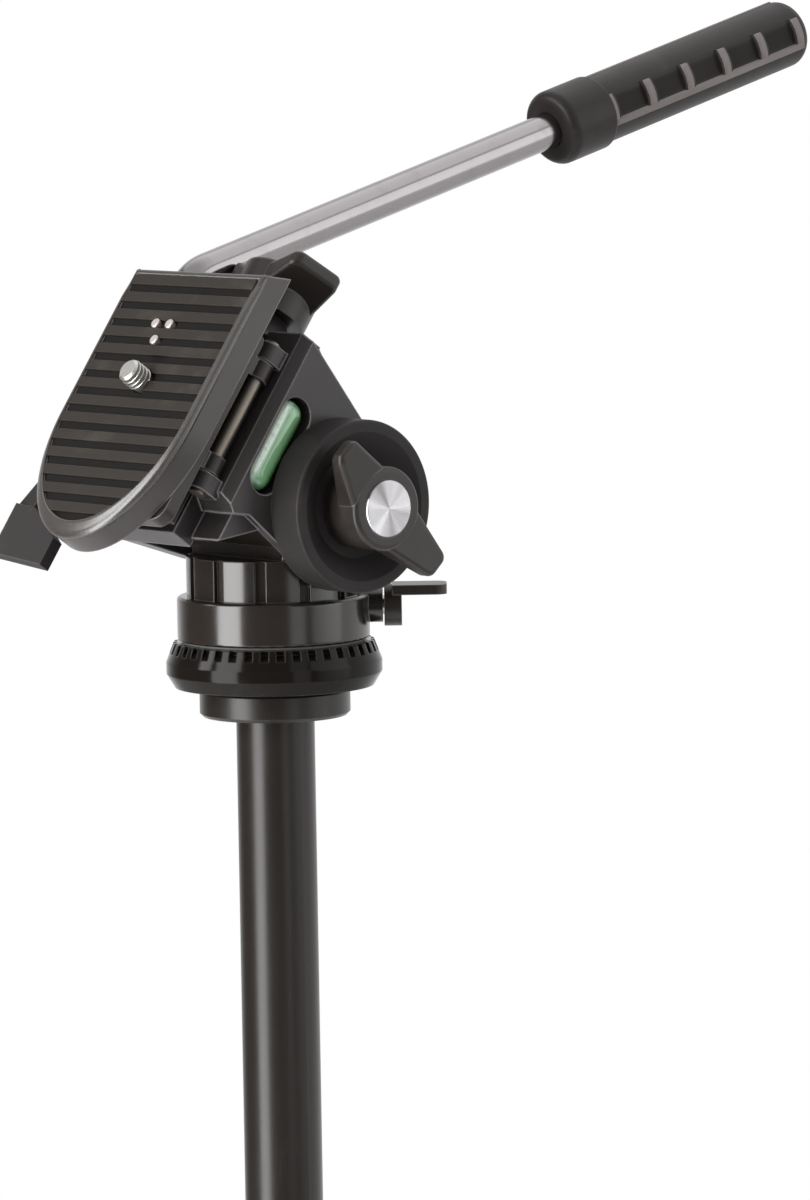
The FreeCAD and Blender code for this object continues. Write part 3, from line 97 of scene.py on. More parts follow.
class Grain(Enum):
    """The way a surface's fine marks run, as the scale of its coordinates."""

    EVEN = (1.0, 1.0, 1.0)
    ALONG_X = (0.04, 1.0, 1.0)
    ALONG_Z = (1.0, 1.0, 0.04)


@dataclass(frozen=True)
class Noise:
    """Fine unevenness: its bumps per metre, its octaves and the strength of the finer octaves."""

    scale: float
    detail: float = 3.0
    roughness: float = 0.55


@dataclass(frozen=True)
class Signal:
    """An output socket of a shader that takes part in arithmetic."""

    shader: "Shader"
    socket: bpy.types.NodeSocket

    def __add__(self, other: "Value") -> "Signal":
        """Adds a value."""
        return self.shader.math("ADD", self, other)

    def __radd__(self, other: "Value") -> "Signal":
        """Adds to a value."""
        return self.shader.math("ADD", other, self)

    def __sub__(self, other: "Value") -> "Signal":
        """Takes a value away."""
        return self.shader.math("SUBTRACT", self, other)

    def __rsub__(self, other: "Value") -> "Signal":
        """Is taken away from a value."""
        return self.shader.math("SUBTRACT", other, self)

    def __mul__(self, other: "Value") -> "Signal":
        """Multiplies by a value."""
        return self.shader.math("MULTIPLY", self, other)

    def __rmul__(self, other: "Value") -> "Signal":
        """Multiplies a value."""
        return self.shader.math("MULTIPLY", other, self)

    def __truediv__(self, other: "Value") -> "Signal":
        """Divides by a value."""
        return self.shader.math("DIVIDE", self, other)

    def __rtruediv__(self, other: "Value") -> "Signal":
        """Divides a value."""
        return self.shader.math("DIVIDE", other, self)

    def clamped(self) -> "Signal":
        """The value held between 0 and 1."""
        return self.shader.math("MAXIMUM", self.shader.math("MINIMUM", self, 1.0), 0.0)

    def band(self, low: float, high: float) -> "Signal":
        """Rises smoothly from 0 at low to 1 at high.

        Args:
            low: Where the rise starts.
            high: Where the rise ends.

        Returns:
            The eased value.
        """
        settings = {"interpolation_type": "SMOOTHSTEP"}
        inputs = {"Value": self, "From Min": low, "From Max": high}
        return self.shader.make("ShaderNodeMapRange", inputs, settings).out("Result")


@dataclass(frozen=True)
class Made:
    """A shader node with its outputs at hand."""

    shader: "Shader"
    node: bpy.types.Node

    def out(self, name: str | int = 0) -> Signal:
        """One of the node's outputs."""
        return Signal(self.shader, self.node.outputs[name])


Value = float | Colour | Signal


class Shader:
    """The node tree of a material or a world, under construction."""

    BEVEL_SAMPLES = 6
    CORNER_SPAN: Span = (0.005, 0.12)

    def __init__(self, owner: bpy.types.Material | bpy.types.World) -> None:
        """Starts with an empty node tree.

        Args:
            owner: The material or world that the nodes belong to.
        """
        owner.use_nodes = True
        self.owner = owner
        self.tree = owner.node_tree
        self.tree.nodes.clear()

    def make(self, kind: str, inputs: dict | None = None, settings: dict | None = None) -> Made:
        """Makes a node, sets it up, then fills its sockets.

        Args:
            kind: The node's type.
            inputs: Values or links by socket name or index.
            settings: Properties that are set first.

        Returns:
            The node.
        """
        node = self.tree.nodes.new(kind)
        for key, value in (settings or {}).items():
            setattr(node, key, value)
        for key, value in (inputs or {}).items():
            socket = node.inputs[key]
            if isinstance(value, Signal):
                self.tree.links.new(value.socket, socket)
            elif socket.type == "RGBA":
                socket.default_value = (*value, 1.0)
            else:
                socket.default_value = value
        return Made(self, node)

    def math(self, operation: str, first: Value, second: Value = 0.0) -> Signal:
        """A Math node on two values."""
        return self.make("ShaderNodeMath", {0: first, 1: second}, {"operation": operation}).out()

    def vector(
        self, operation: str, first: Value, second: Value = ORIGIN, output: str | int = 0
    ) -> Signal:
        """A Vector Math node on two vectors, or on one."""
        made = self.make("ShaderNodeVectorMath", {0: first, 1: second}, {"operation": operation})
        return made.out(output)

    def blend(self, factor: Value, first: Value, second: Value) -> Signal:
        """The first colour where the factor is 0, the second where it is 1."""
        inputs = {0: factor, 6: first, 7: second}
        return self.make("ShaderNodeMix", inputs, {"data_type": "RGBA"}).out(2)

    def pick(self, factor: Value, first: Value, second: Value) -> Signal:
        """The first number where the factor is 0, the second where it is 1."""
        inputs = {0: factor, 2: first, 3: second}
        return self.make("ShaderNodeMix", inputs, {"data_type": "FLOAT"}).out(0)

    def place(self) -> Signal:
        """Where a point lies on its own piece, in metres."""
        return self.make("ShaderNodeTexCoord").out("Object")

    def noise(self, place: Signal, noise: Noise) -> Signal:
        """Even noise between 0 and 1 over the given coordinates."""
        fineness = {"Scale": noise.scale, "Detail": noise.detail, "Roughness": noise.roughness}
        return self.make("ShaderNodeTexNoise", {"Vector": place, **fineness}).out(0)

    def soft_edges(self, radius: float) -> tuple[Signal, Signal]:
        """Rounds the corners in the shading.

        Args:
            radius: The rounding's radius in metres.

        Returns:
            The rounded normal, and a mask that is 1 along the corners.
        """
        settings = {"samples": self.BEVEL_SAMPLES}
        rounded = self.make("ShaderNodeBevel", {"Radius": radius}, settings).out()
        flat = self.make("ShaderNodeNewGeometry").out("Normal")
        alike = self.vector("DOT_PRODUCT", rounded, flat, "Value")
        return rounded, (1.0 - alike).band(*self.CORNER_SPAN)

    def bump(
        self, height: Signal, distance: float, strength: float, normal: Signal | None = None
    ) -> Signal:
        """A bumped normal.

        Args:
            height: The height, between 0 and 1.
            distance: The height's full size in metres.
            strength: The bump's weight.
            normal: The normal to start from.

        Returns:
            The new normal.
        """
        inputs = {"Height": height, "Distance": distance, "Strength": strength}
        if normal is not None:
            inputs["Normal"] = normal
        return self.make("ShaderNodeBump", inputs).out()

    def surface(self, inputs: dict) -> bpy.types.Material:
        """Joins a principled surface to the material's output.

        Args:
            inputs: The surface's values or links by socket name.

        Returns:
            The finished material.
        """
        made = self.make("ShaderNodeBsdfPrincipled", inputs)
        self.make("ShaderNodeOutputMaterial", {"Surface": made.out()})
        return self.owner


@dataclass(frozen=True)
class Moulding:
    """Moulded black plastic: fine spark grain, handling marks, polished corners and lighter-coloured
    corners, which are wear and, in the brighter finishes, painted edge highlights.
    """

    name: str = "satin black moulding"
    colour: Colour = (0.0155, 0.0122, 0.0102)
    dust: Colour = (0.058, 0.05, 0.045)
    edge: Colour = (0.12, 0.108, 0.1)
    roughness: float = 0.34
    specular: float = 0.38
    corner: float = 0.5 * MM
    corner_shine: float = 0.1
    edge_share: float = 0.6
    grain: Noise = Noise(2600.0, 2.0)
    grain_depth: float = 0.03 * MM
    grain_strength: float = 0.35
    cloud: Noise = Noise(55.0, 4.0)
    cloud_rough: float = 0.16
    dust_span: Span = (0.55, 0.85)
    dust_share: float = 0.35
    marks: Noise = Noise(420.0, 5.0, 0.7)
    marks_span: Span = (0.56, 0.72)
    marks_rough: float = 0.06

    def build(self) -> bpy.types.Material:
        """Builds the material.

        Returns:
            The finished material.
        """
        shader = Shader(bpy.data.materials.new(self.name))
        place = shader.place()
        normal, corners = shader.soft_edges(self.corner)
        spark = shader.noise(place, self.grain)
        cloud = shader.noise(place, self.cloud)
        marks = shader.noise(place, self.marks).band(*self.marks_span)
        dusty = shader.blend(cloud.band(*self.dust_span) * self.dust_share, self.colour, self.dust)
        rough = self.roughness + (cloud - 0.5) * self.cloud_rough + marks * self.marks_rough
        # Lighter corners in colour: wear, and in the finishes with pale corner colours a painted edge
        # highlight.
        return shader.surface({
            "Base Color": shader.blend(corners * self.edge_share, dusty, self.edge),
            "Roughness": (rough - corners * self.corner_shine).clamped(),
            "Specular IOR Level": self.specular,
            "Normal": shader.bump(spark, self.grain_depth, self.grain_strength, normal),
        })


@dataclass(frozen=True)
class DrawnTube:
    """Black anodised tube with lengthwise draw lines and faint rubbing."""

    name: str = "satin black tube"
    colour: Colour = (0.0125, 0.0098, 0.0084)
    rubbed: Colour = (0.07, 0.062, 0.056)
    rub_share: float = 0.3
    roughness: float = 0.31
    specular: float = 0.39
    corner: float = 0.3 * MM
    edge_share: float = 0.4
    grain: Grain = Grain.ALONG_Z
    lines: Noise = Noise(2400.0)
    lines_span: Span = (0.6, 0.75)
    line_depth: float = 0.01 * MM
    line_strength: float = 0.25
    bands: Noise = Noise(260.0)
    bands_rough: float = 0.12
    cloud: Noise = Noise(40.0)
    cloud_span: Span = (0.45, 0.7)
    cloud_rough: float = 0.1

    def build(self) -> bpy.types.Material:
        """Builds the material.

        Returns:
            The finished material.
        """
        shader = Shader(bpy.data.materials.new(self.name))
        place = shader.place()
        normal, corners = shader.soft_edges(self.corner)
        drawn = shader.vector("MULTIPLY", place, self.grain.value)
        lines = shader.noise(drawn, self.lines)
        bands = shader.noise(drawn, self.bands)
        cloud = shader.noise(place, self.cloud)
        rub = (lines.band(*self.lines_span) * cloud.band(*self.cloud_span)) * self.rub_share
        worn = (rub + corners * self.edge_share).clamped()
        rough = self.roughness + (bands - 0.5) * self.bands_rough + (cloud - 0.5) * self.cloud_rough
        return shader.surface({
            "Base Color": shader.blend(worn, self.colour, self.rubbed),
            "Roughness": rough.clamped(),
            "Specular IOR Level": self.specular,
            "Normal": shader.bump(lines, self.line_depth, self.line_strength, normal),
        })


@dataclass(frozen=True)
class Recess:
    """The sunk areas of a moulding, by distance from an axis or along a direction."""

    point: Point
    direction: Point
    low: float
    high: float
    about_axis: bool = False

    def mask(self, shader: Shader, place: Signal) -> Signal:
        """How deep a point lies.

        Args:
            shader: The material under construction.
            place: The point's place.

        Returns:
            1 at the low limit and below it, 0 at the high limit and above it.
        """
        offset = shader.vector("SUBTRACT", place, self.point)
        if self.about_axis:
            across = shader.vector("CROSS_PRODUCT", offset, self.direction)
            reach = shader.vector("LENGTH", across, output="Value")
        else:
            reach = shader.vector("DOT_PRODUCT", offset, self.direction, "Value")
        return 1.0 - reach.band(self.low, self.high)


# Recesses where the grip's and the pad's rubbers paint shade into their pockets and grooves.
GRIP_POCKETS = Recess(
    tilt_point(*HANDLE_CORNER),
    tilt_direction(0.0, math.cos(HANDLE_BEND), -math.sin(HANDLE_BEND)),
    low=8.7 * MM,
    high=9.3 * MM,
    about_axis=True,
)
PAD_GROOVES = Recess(
    tilt_point(*ORIGIN), tilt_direction(0.0, 0.0, 1.0), low=53.6 * MM, high=54.35 * MM
)


@dataclass(frozen=True)
class Rubber:
    """Moulded rubber: a soft sheen, dusty patches and corners, and painted shade that darkens its sunk
    parts.
    """

    name: str = "black rubber"
    colour: Colour = (0.0155, 0.0125, 0.0108)
    dust: Colour = (0.06, 0.053, 0.046)
    roughness: float = 0.5
    specular: float = 0.35
    corner: float = 0.4 * MM
    corner_shine: float = 0.1
    edge_share: float = 0.35
    recess: Recess | None = None
    hollow: Colour = (0.0085, 0.0052, 0.0046)
    hollow_share: float = 0.85
    hollow_rough: float = 0.25
    skin: Noise = Noise(1500.0, 4.0)
    skin_depth: float = 0.05 * MM
    skin_strength: float = 0.4
    cloud: Noise = Noise(80.0, 4.0)
    cloud_span: Span = (0.5, 0.8)
    cloud_share: float = 0.4
    cloud_rough: float = 0.2
    specks: Noise = Noise(3200.0, 1.0)
    specks_span: Span = (0.7, 0.78)
    specks_share: float = 0.35

    def build(self) -> bpy.types.Material:
        """Builds the material.

        Returns:
            The finished material.
        """
        shader = Shader(bpy.data.materials.new(self.name))
        place = shader.place()
        normal, corners = shader.soft_edges(self.corner)
        skin = shader.noise(place, self.skin)
        cloud = shader.noise(place, self.cloud)
        specks = shader.noise(place, self.specks).band(*self.specks_span)
        dirt = cloud.band(*self.cloud_span) * self.cloud_share + specks * self.specks_share
        dusty = shader.blend(dirt.clamped(), self.colour, self.dust)
        colour = shader.blend(corners * self.edge_share, dusty, self.dust)
        rough = self.roughness + (cloud - 0.5) * self.cloud_rough - corners * self.corner_shine
        if self.recess is not None:
            # Painted shade: the recess is darkened in colour, and made rougher.
            deep = self.recess.mask(shader, place)
            colour = shader.blend(deep * self.hollow_share, colour, self.hollow)
            rough = rough + deep * self.hollow_rough
        return shader.surface({
            "Base Color": colour,
            "Roughness": rough.clamped(),
            "Specular IOR Level": self.specular,
            "Normal": shader.bump(skin, self.skin_depth, self.skin_strength, normal),
        })


@dataclass(frozen=True)
class BareMetal:
    """Bare or plated metal with fine tool lines."""

    name: str = "turned steel"
    colour: Colour = (0.6, 0.59, 0.58)
    tint: Colour = (0.42, 0.41, 0.4)
    roughness: float = 0.24
    grain: Grain = Grain.EVEN
    line_depth: float = 0.006 * MM
    line_strength: float = 0.3
    line_rough: float = 0.06
    corner: float = 0.2 * MM
    corner_shine: float = 0.05
    lines: Noise = Noise(3000.0)
    cloud: Noise = Noise(120.0, 4.0)
    cloud_rough: float = 0.1
    stain_span: Span = (0.52, 0.8)
    stain_share: float = 0.5

    def build(self) -> bpy.types.Material:
        """Builds the material.

        Returns:
            The finished material.
        """
        shader = Shader(bpy.data.materials.new(self.name))
        place = shader.place()
        normal, corners = shader.soft_edges(self.corner)
        drawn = shader.vector("MULTIPLY", place, self.grain.value)
        lines = shader.noise(drawn, self.lines)
        cloud = shader.noise(place, self.cloud)
        stain = cloud.band(*self.stain_span) * self.stain_share
        rough = self.roughness + (cloud - 0.5) * self.cloud_rough + (lines - 0.5) * self.line_rough
        return shader.surface({
            "Base Color": shader.blend(stain, self.colour, self.tint),
            "Metallic": 1.0,
            "Roughness": (rough - corners * self.corner_shine).clamped(),
            "Normal": shader.bump(lines, self.line_depth, self.line_strength, normal),
        })


@dataclass(frozen=True)
class SpunFace:
    """Spun metal: fine rings about the tilt axis that smear the light into rays, and the same rays
    painted into the colour as a painted reflection.

    Each ray's entry holds its count round the face, its phase in radians and its weight.
    """

    name: str = "spun metal"
    colour: Colour = (0.84, 0.83, 0.85)
    shade: Colour = (0.24, 0.23, 0.24)
    rays: tuple[tuple[int, float, float], ...] = ((2, 0.7, 0.72), (5, 0.2, 0.26), (11, 1.3, 0.1))
    axis_point: Point = (0.0, 0.0, TILT_HEIGHT)
    across_axis: Point = (0.0, 1.0, 1.0)
    ring_pitch: float = 0.22 * MM
    ring_depth: float = 0.04 * MM
    ring_strength: float = 0.8
    jitter: Noise = Noise(900.0, 2.0)
    jitter_share: float = 0.4
    roughness: float = 0.22
    smear: Noise = Noise(300.0)
    smear_rough: float = 0.08

    def build(self) -> bpy.types.Material:
        """Builds the material.

        Returns:
            The finished material.
        """
        shader = Shader(bpy.data.materials.new(self.name))
        place = shader.vector("SUBTRACT", shader.place(), self.axis_point)
        flat = shader.vector("MULTIPLY", place, self.across_axis)
        radius = shader.vector("LENGTH", flat, output="Value")
        jitter = shader.noise(place, self.jitter) * self.jitter_share
        turns = radius * (2 * math.pi / self.ring_pitch) + jitter
        rings = shader.math("SINE", turns) * 0.5 + 0.5
        parts = shader.make("ShaderNodeSeparateXYZ", {0: flat})
        angle = shader.math("ARCTAN2", parts.out("Z"), parts.out("Y"))
        # Painted reflection: light and dark sectors round the face, in the colour.
        painted_rays: Value = 0.5
        for count, phase, weight in self.rays:
            painted_rays = shader.math("SINE", angle * count + phase) * (weight * 0.5) + painted_rays
        rough = self.roughness + shader.noise(place, self.smear) * self.smear_rough
        return shader.surface({
            "Base Color": shader.blend(painted_rays.clamped(), self.shade, self.colour),
            "Metallic": 1.0,
            "Roughness": rough.clamped(),
            "Normal": shader.bump(rings, self.ring_depth, self.ring_strength),
        })


@dataclass(frozen=True)
class VialGlass:
    """The spirit level's vial: green liquid, with a pale painted highlight band along its upper side, a
    brighter painted green over most of it, and painted shade at its lower edge.
    """

    name: str = "green vial"
    colour: Colour = (0.04, 0.12, 0.03)
    glow: Colour = (0.17, 0.36, 0.19)
    lit: Colour = (0.66, 0.86, 0.7)
    centre: Point = tilt_point(*VIAL_CENTRE)
    across: Point = tilt_direction(-0.616, 0.0, 0.788)
    glow_span: Span = (-1.0, -0.68)
    lit_span: Span = (-0.34, 0.02)
    lit_least: float = 0.6
    cloud: Noise = Noise(150.0, 2.0)
    cloud_share: float = 0.25
    roughness: float = 0.12
    specular: float = 0.6
    coat: float = 1.0
    coat_roughness: float = 0.03

    def build(self) -> bpy.types.Material:
        """Builds the material.

        Returns:
            The finished material.
        """
        shader = Shader(bpy.data.materials.new(self.name))
        place = shader.place()
        offset = shader.vector("SUBTRACT", place, self.centre)
        side = shader.vector("DOT_PRODUCT", offset, self.across, "Value") / VIAL_RADIUS
        cloud = shader.noise(place, self.cloud)
        # Painted light and shade across the vial: dark green at its lower edge, brighter green over the
        # rest, and a pale highlight band along its upper side.
        body = shader.blend(side.band(*self.glow_span), self.colour, self.glow)
        tinted = shader.blend(cloud * self.cloud_share, body, self.colour)
        painted_highlight_band = side.band(*self.lit_span) * (self.lit_least + cloud * (1.0 - self.lit_least))
        return shader.surface({
            "Base Color": shader.blend(painted_highlight_band, tinted, self.lit),
            "Roughness": self.roughness,
            "Coat Weight": self.coat,
            "Coat Roughness": self.coat_roughness,
            "Specular IOR Level": self.specular,
        })


@dataclass(frozen=True)
class BubbleHighlightPatch:
    """The level's bubble, long and pale so that it also serves as a painted highlight along the vial: a
    pale green patch with a little unevenness.
    """

    name: str = "bubble"
    colour: Colour = (0.8, 0.93, 0.82)
    darkness: float = 0.6
    roughness: float = 0.1
    cloud: Noise = Noise(900.0)
    cloud_span: Span = (0.4, 0.75)
    cloud_share: float = 0.5
    cloud_rough: float = 0.1

    def build(self) -> bpy.types.Material:
        """Builds the material.

        Returns:
            The finished material.
        """
        shader = Shader(bpy.data.materials.new(self.name))
        cloud = shader.noise(shader.place(), self.cloud).band(*self.cloud_span)
        darker = tuple(channel * self.darkness for channel in self.colour)
        return shader.surface({
            "Base Color": shader.blend(cloud * self.cloud_share, self.colour, darker),
            "Roughness": (self.roughness + cloud * self.cloud_rough).clamped(),
        })


class Finish(Enum):
    """The finishes: first one for each of the record's material slots, then the tripod's variants."""

    BLACK_PLASTIC = Moulding()
    GLOSS_BLACK_PLASTIC = Moulding(
        "polished black moulding", roughness=0.18, specular=0.67, grain_depth=0.01 * MM, corner_shine=0.06
    )
    GREY_PLASTIC = Moulding(
        "grey moulding", colour=(0.2, 0.2, 0.2), dust=(0.3, 0.3, 0.3), roughness=0.45
    )
    SATIN_BLACK_METAL = DrawnTube()
    BRIGHT_STEEL = BareMetal()
    SPUN_METAL = SpunFace()
    CHROME = BareMetal(
        "chrome plating",
        colour=(0.29, 0.274, 0.278),
        tint=(0.22, 0.207, 0.21),
        roughness=0.17,
        grain=Grain.ALONG_X,
        line_depth=0.003 * MM,
    )
    RUBBER = Rubber()
    VIAL_GREEN = VialGlass()
    # The next three finishes have pale corner colours: painted edge highlights along their corners.
    SATIN_PLATE = Moulding(
        "satin plate with painted edge highlights", colour=(0.034, 0.03, 0.028), edge=(0.42, 0.4, 0.38), specular=0.5, corner=0.8 * MM
    )
    SATIN_CRADLE = Moulding(
        "satin cradle with painted edge highlights", colour=(0.024, 0.0205, 0.0205), edge=(0.36, 0.345, 0.345), corner=0.8 * MM
    )
    WORN_BLACK = Moulding(
        "black moulding with painted edge highlights", colour=(0.0175, 0.0142, 0.0125), edge=(0.26, 0.24, 0.235), corner=0.7 * MM
    )
    MATT_DRUM = Moulding("matt drum", colour=(0.0165, 0.0142, 0.014), roughness=0.5, specular=0.22)
    # The lip's colour, lighter than the other black mouldings, is in part a painted highlight.
    POLISHED_LIP = Moulding(
        "polished lip", colour=(0.04, 0.036, 0.033), roughness=0.26, specular=0.95, grain_depth=0.01 * MM
    )
    DEEP_GLOSS = Moulding(
        "deep gloss",
        colour=(0.007, 0.0056, 0.0048),
        edge=(0.05, 0.045, 0.04),
        roughness=0.12,
        specular=0.13,
        grain_depth=0.005 * MM,
    )
    SATIN_STEEL = BareMetal(
        "satin steel", colour=(0.56, 0.55, 0.52), tint=(0.42, 0.41, 0.39), roughness=0.42
    )
    DULL_STEEL = BareMetal(
        "dull steel", colour=(0.2, 0.175, 0.15), tint=(0.12, 0.105, 0.09), roughness=0.42
    )
    PALE_METAL = BareMetal(
        "pale metal", colour=(0.62, 0.56, 0.54), tint=(0.5, 0.44, 0.42), roughness=0.5
    )
    # The next two rubbers darken their recesses in colour: painted shade in the grip's pockets and the
    # pad's grooves.
    GRIP_RUBBER = Rubber(
        "grip rubber",
        colour=(0.0135, 0.0108, 0.0098),
        roughness=0.42,
        specular=0.27,
        corner=0.6 * MM,
        recess=GRIP_POCKETS,
    )
    PAD_RUBBER = Rubber(
        "pad rubber",
        colour=(0.0178, 0.0138, 0.0108),
        roughness=0.6,
        specular=0.24,
        recess=PAD_GROOVES,
        hollow=(0.004, 0.0033, 0.0028),
    )
    # Pale rubber for the grip's bars: partly wear, partly a painted highlight on the ridges.
    WORN_RUBBER = Rubber(
        "worn rubber with painted highlights", colour=(0.15, 0.128, 0.126), dust=(0.2, 0.18, 0.175), roughness=0.42, specular=0.45
    )
    BUBBLE = BubbleHighlightPatch()

    @cache
    def material(self) -> bpy.types.Material:
        """The finish's material, built at its first use."""
        return self.value.build()


# Solids with their finishes, where None stands for the finish of the solid's slot in the record.
Dressing = tuple[tuple[str, Finish | None], ...]


class Dresser:
    """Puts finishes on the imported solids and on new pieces."""

    def __init__(self, frame: dict) -> None:
        """Keeps the loaded frame's solids and their slots."""
        self.nodes = frame["nodes"]
        self.slots = {part["node"]: part["material_slot"] for part in frame["record"]["subparts"]}

    def dress(self, node: str, finish: Finish | None = None) -> None:
        """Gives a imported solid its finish.

        Args:
            node: The solid's name.
            finish: A finish, or None for the record's own slot.
        """
        material = (finish or Finish[self.slots[node].upper()]).material()
        mesh = self.nodes[node].data
        if not mesh.materials:
            mesh.materials.append(material)
        for index in range(len(mesh.materials)):
            mesh.materials[index] = material
        LOG.info("dressed %s", node)

    def add(self, obj: bpy.types.Object, finish: Finish, body: str, slot: str) -> None:
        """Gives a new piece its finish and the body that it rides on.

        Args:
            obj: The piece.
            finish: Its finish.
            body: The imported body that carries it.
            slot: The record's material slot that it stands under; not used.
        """
        obj.data.materials.append(finish.material())
        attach(obj, body)
        LOG.info("built %s", obj.name)


def skin_rings(work: bmesh.types.BMesh, rings: Rings, closed: bool) -> None:
    """Joins rings of points with faces.

    Args:
        work: The bmesh to fill.
        rings: Rings of equal length, in order.
        closed: Whether the last ring joins the first; otherwise both ends are capped.
    """
    rows = [[work.verts.new(point) for point in ring] for ring in rings]
    count = len(rows[0])
    pairs = list(zip(rows, rows[1:])) + ([(rows[-1], rows[0])] if closed else [])
    for first, second in pairs:
        for index in range(count):
            after = (index + 1) % count
            work.faces.new((first[index], first[after], second[after], second[index]))
    if not closed:
        work.faces.new(list(reversed(rows[0])))
        work.faces.new(rows[-1])


def mesh_piece(name: str, work: bmesh.types.BMesh, place: Matrix) -> bpy.types.Object:
    """Turns a filled bmesh into a smooth piece.

    Args:
        name: The piece's name.
        work: The bmesh, in metres, which is freed.
        place: Moves the finished mesh.

    Returns:
        The object, linked to the scene.
    """
    bmesh.ops.recalc_face_normals(work, faces=work.faces)
    mesh = bpy.data.meshes.new(name)
    work.to_mesh(mesh)
    work.free()
    mesh.transform(place)
    mesh.polygons.foreach_set("use_smooth", [True] * len(mesh.polygons))
    obj = bpy.data.objects.new(name, mesh)
    bpy.context.scene.collection.objects.link(obj)
    return obj


def ring_piece(
    name: str, shells: list[Rings], place: Matrix, closed: bool = False
) -> bpy.types.Object:
    """Makes a smooth piece of one or more shells, each skinned over its rings.

    Args:
        name: The piece's name.
        shells: The rings of each shell, in metres.
        place: Moves the finished mesh.
        closed: Whether each shell's last ring joins its first.

    Returns:
        The object, linked to the scene.
    """
    work = bmesh.new()
    for rings in shells:
        skin_rings(work, rings, closed)
    return mesh_piece(name, work, place)


def circle(radius: float, height: float, count: int = 48, sides: int = 0) -> list[Vector]:
    """A ring of points about Z.

    Args:
        radius: Its radius, or half its width across flats.
        height: Its height.
        count: How many points it has.
        sides: The sides of a polygon for the points to lie on, or 0 for a circle.

    Returns:
        The points in order.
    """
    ring = []
    for index in range(count):
        angle = 2 * math.pi * index / count
        reach = radius
        if sides:
            step = 2 * math.pi / sides
            reach = radius / math.cos(angle % step - step / 2)
        ring.append(Vector((reach * math.cos(angle), reach * math.sin(angle), height)))
    return ring


def leg_place(azimuth: float) -> Matrix:
    """From a leg's own frame, hanging down from its hinge, to the row frame.

    Args:
        azimuth: The leg's direction about the column, in degrees.

    Returns:
        The placing matrix.
    """
    turn = Matrix.Rotation(math.radians(azimuth), 4, "Z")
    hinge = Matrix.Translation((HINGE_RADIUS, 0.0, HINGE_HEIGHT))
    return turn @ hinge @ Matrix.Rotation(-LEG_SPREAD, 4, "Y")


@dataclass
class ColumnAndCrown:
    """The centre column, its lock and the crown that the legs hang from."""

    dresser: Dresser
    nodes: tuple[str, ...] = (
        "centre_column",
        "column_end_cap",
        "column_hub",
        "head_stud",
        "leg_crown",
        "column_collet",
        "column_lock_collar",
        "leg_hinge_pins",
    )

    def build(self) -> None:
        """Dresses the solids."""
        for node in self.nodes:
            self.dresser.dress(node)


@dataclass
class PanBase:
    """The notched ring and the turning housing, with its lock."""

    dresser: Dresser
    nodes: Dressing = (
        ("pan_ring", Finish.DEEP_GLOSS),
        ("pan_housing", Finish.GLOSS_BLACK_PLASTIC),
        ("pan_pivot", None),
        ("pan_washer", None),
        ("pan_lock_screw", None),
        ("pan_lock_lever", None),
        ("tilt_washers", None),
    )

    def build(self) -> None:
        """Dresses the solids."""
        for node, finish in self.nodes:
            self.dresser.dress(node, finish)


@dataclass
class TiltHead:
    """The cradle with its level, the drum, the platform and the knobs."""

    dresser: Dresser
    nodes: Dressing = (
        ("tilt_axle", None),
        ("tilt_cradle", Finish.SATIN_CRADLE),
        ("level_vial", None),
        ("tilt_drum", Finish.MATT_DRUM),
        ("tilt_lock_knob", Finish.WORN_BLACK),
        ("tilt_knob_cap", None),
        ("side_tilt_knob", Finish.WORN_BLACK),
        ("side_tilt_pin", Finish.DULL_STEEL),
        ("side_tilt_platform", Finish.WORN_BLACK),
    )
    bubble_length: float = 21.0 * MM
    bubble_shift: float = 0.4 * MM
    bubble_angle: float = 0.72
    bubble_half: float = 0.16
    bubble_tip: float = 0.02
    bubble_proud: float = 0.04 * MM
    bubble_sunk: float = 0.2 * MM
    bubble_rows: int = 28
    bubble_columns: int = 8

    def build(self) -> None:
        """Dresses the solids and adds the level's bubble, which also serves as a painted highlight."""
        for node, finish in self.nodes:
            self.dresser.dress(node, finish)
        self.bubble()

    def vial_point(self, angle: float, along: float, proud: float) -> Vector:
        """A point near the vial's surface.

        Args:
            angle: Its angle round the vial, up from the right, in radians.
            along: Its distance to the rear of the bubble's middle.
            proud: Its height over the surface.

        Returns:
            The point in the tilting parts' level frame.
        """
        x, y, z = VIAL_CENTRE
        reach = VIAL_RADIUS + proud
        height = z + reach * math.sin(angle)
        return Vector((x + reach * math.cos(angle), y + self.bubble_shift + along, height))

    def bubble(self) -> None:
        """The bubble, a long rounded patch just proud of the vial's side, pale so that it also serves as
        a painted highlight.
        """
        rings = []
        for row in range(self.bubble_rows + 1):
            along = (row / self.bubble_rows - 0.5) * self.bubble_length
            share = math.sqrt(max(1.0 - (2 * along / self.bubble_length) ** 2, 0.0))
            width = self.bubble_half * share + self.bubble_tip
            angles = []
            for col in range(self.bubble_columns + 1):
                angles.append(self.bubble_angle + (col / self.bubble_columns - 0.5) * 2 * width)
            outer = [self.vial_point(angle, along, self.bubble_proud) for angle in angles]
            inner = [self.vial_point(angle, along, -self.bubble_sunk) for angle in reversed(angles)]
            rings.append(outer + inner)
        obj = ring_piece("level_bubble_highlight", [rings], tilt_place())
        self.dresser.add(obj, Finish.BUBBLE, "tilt", "vial_green")


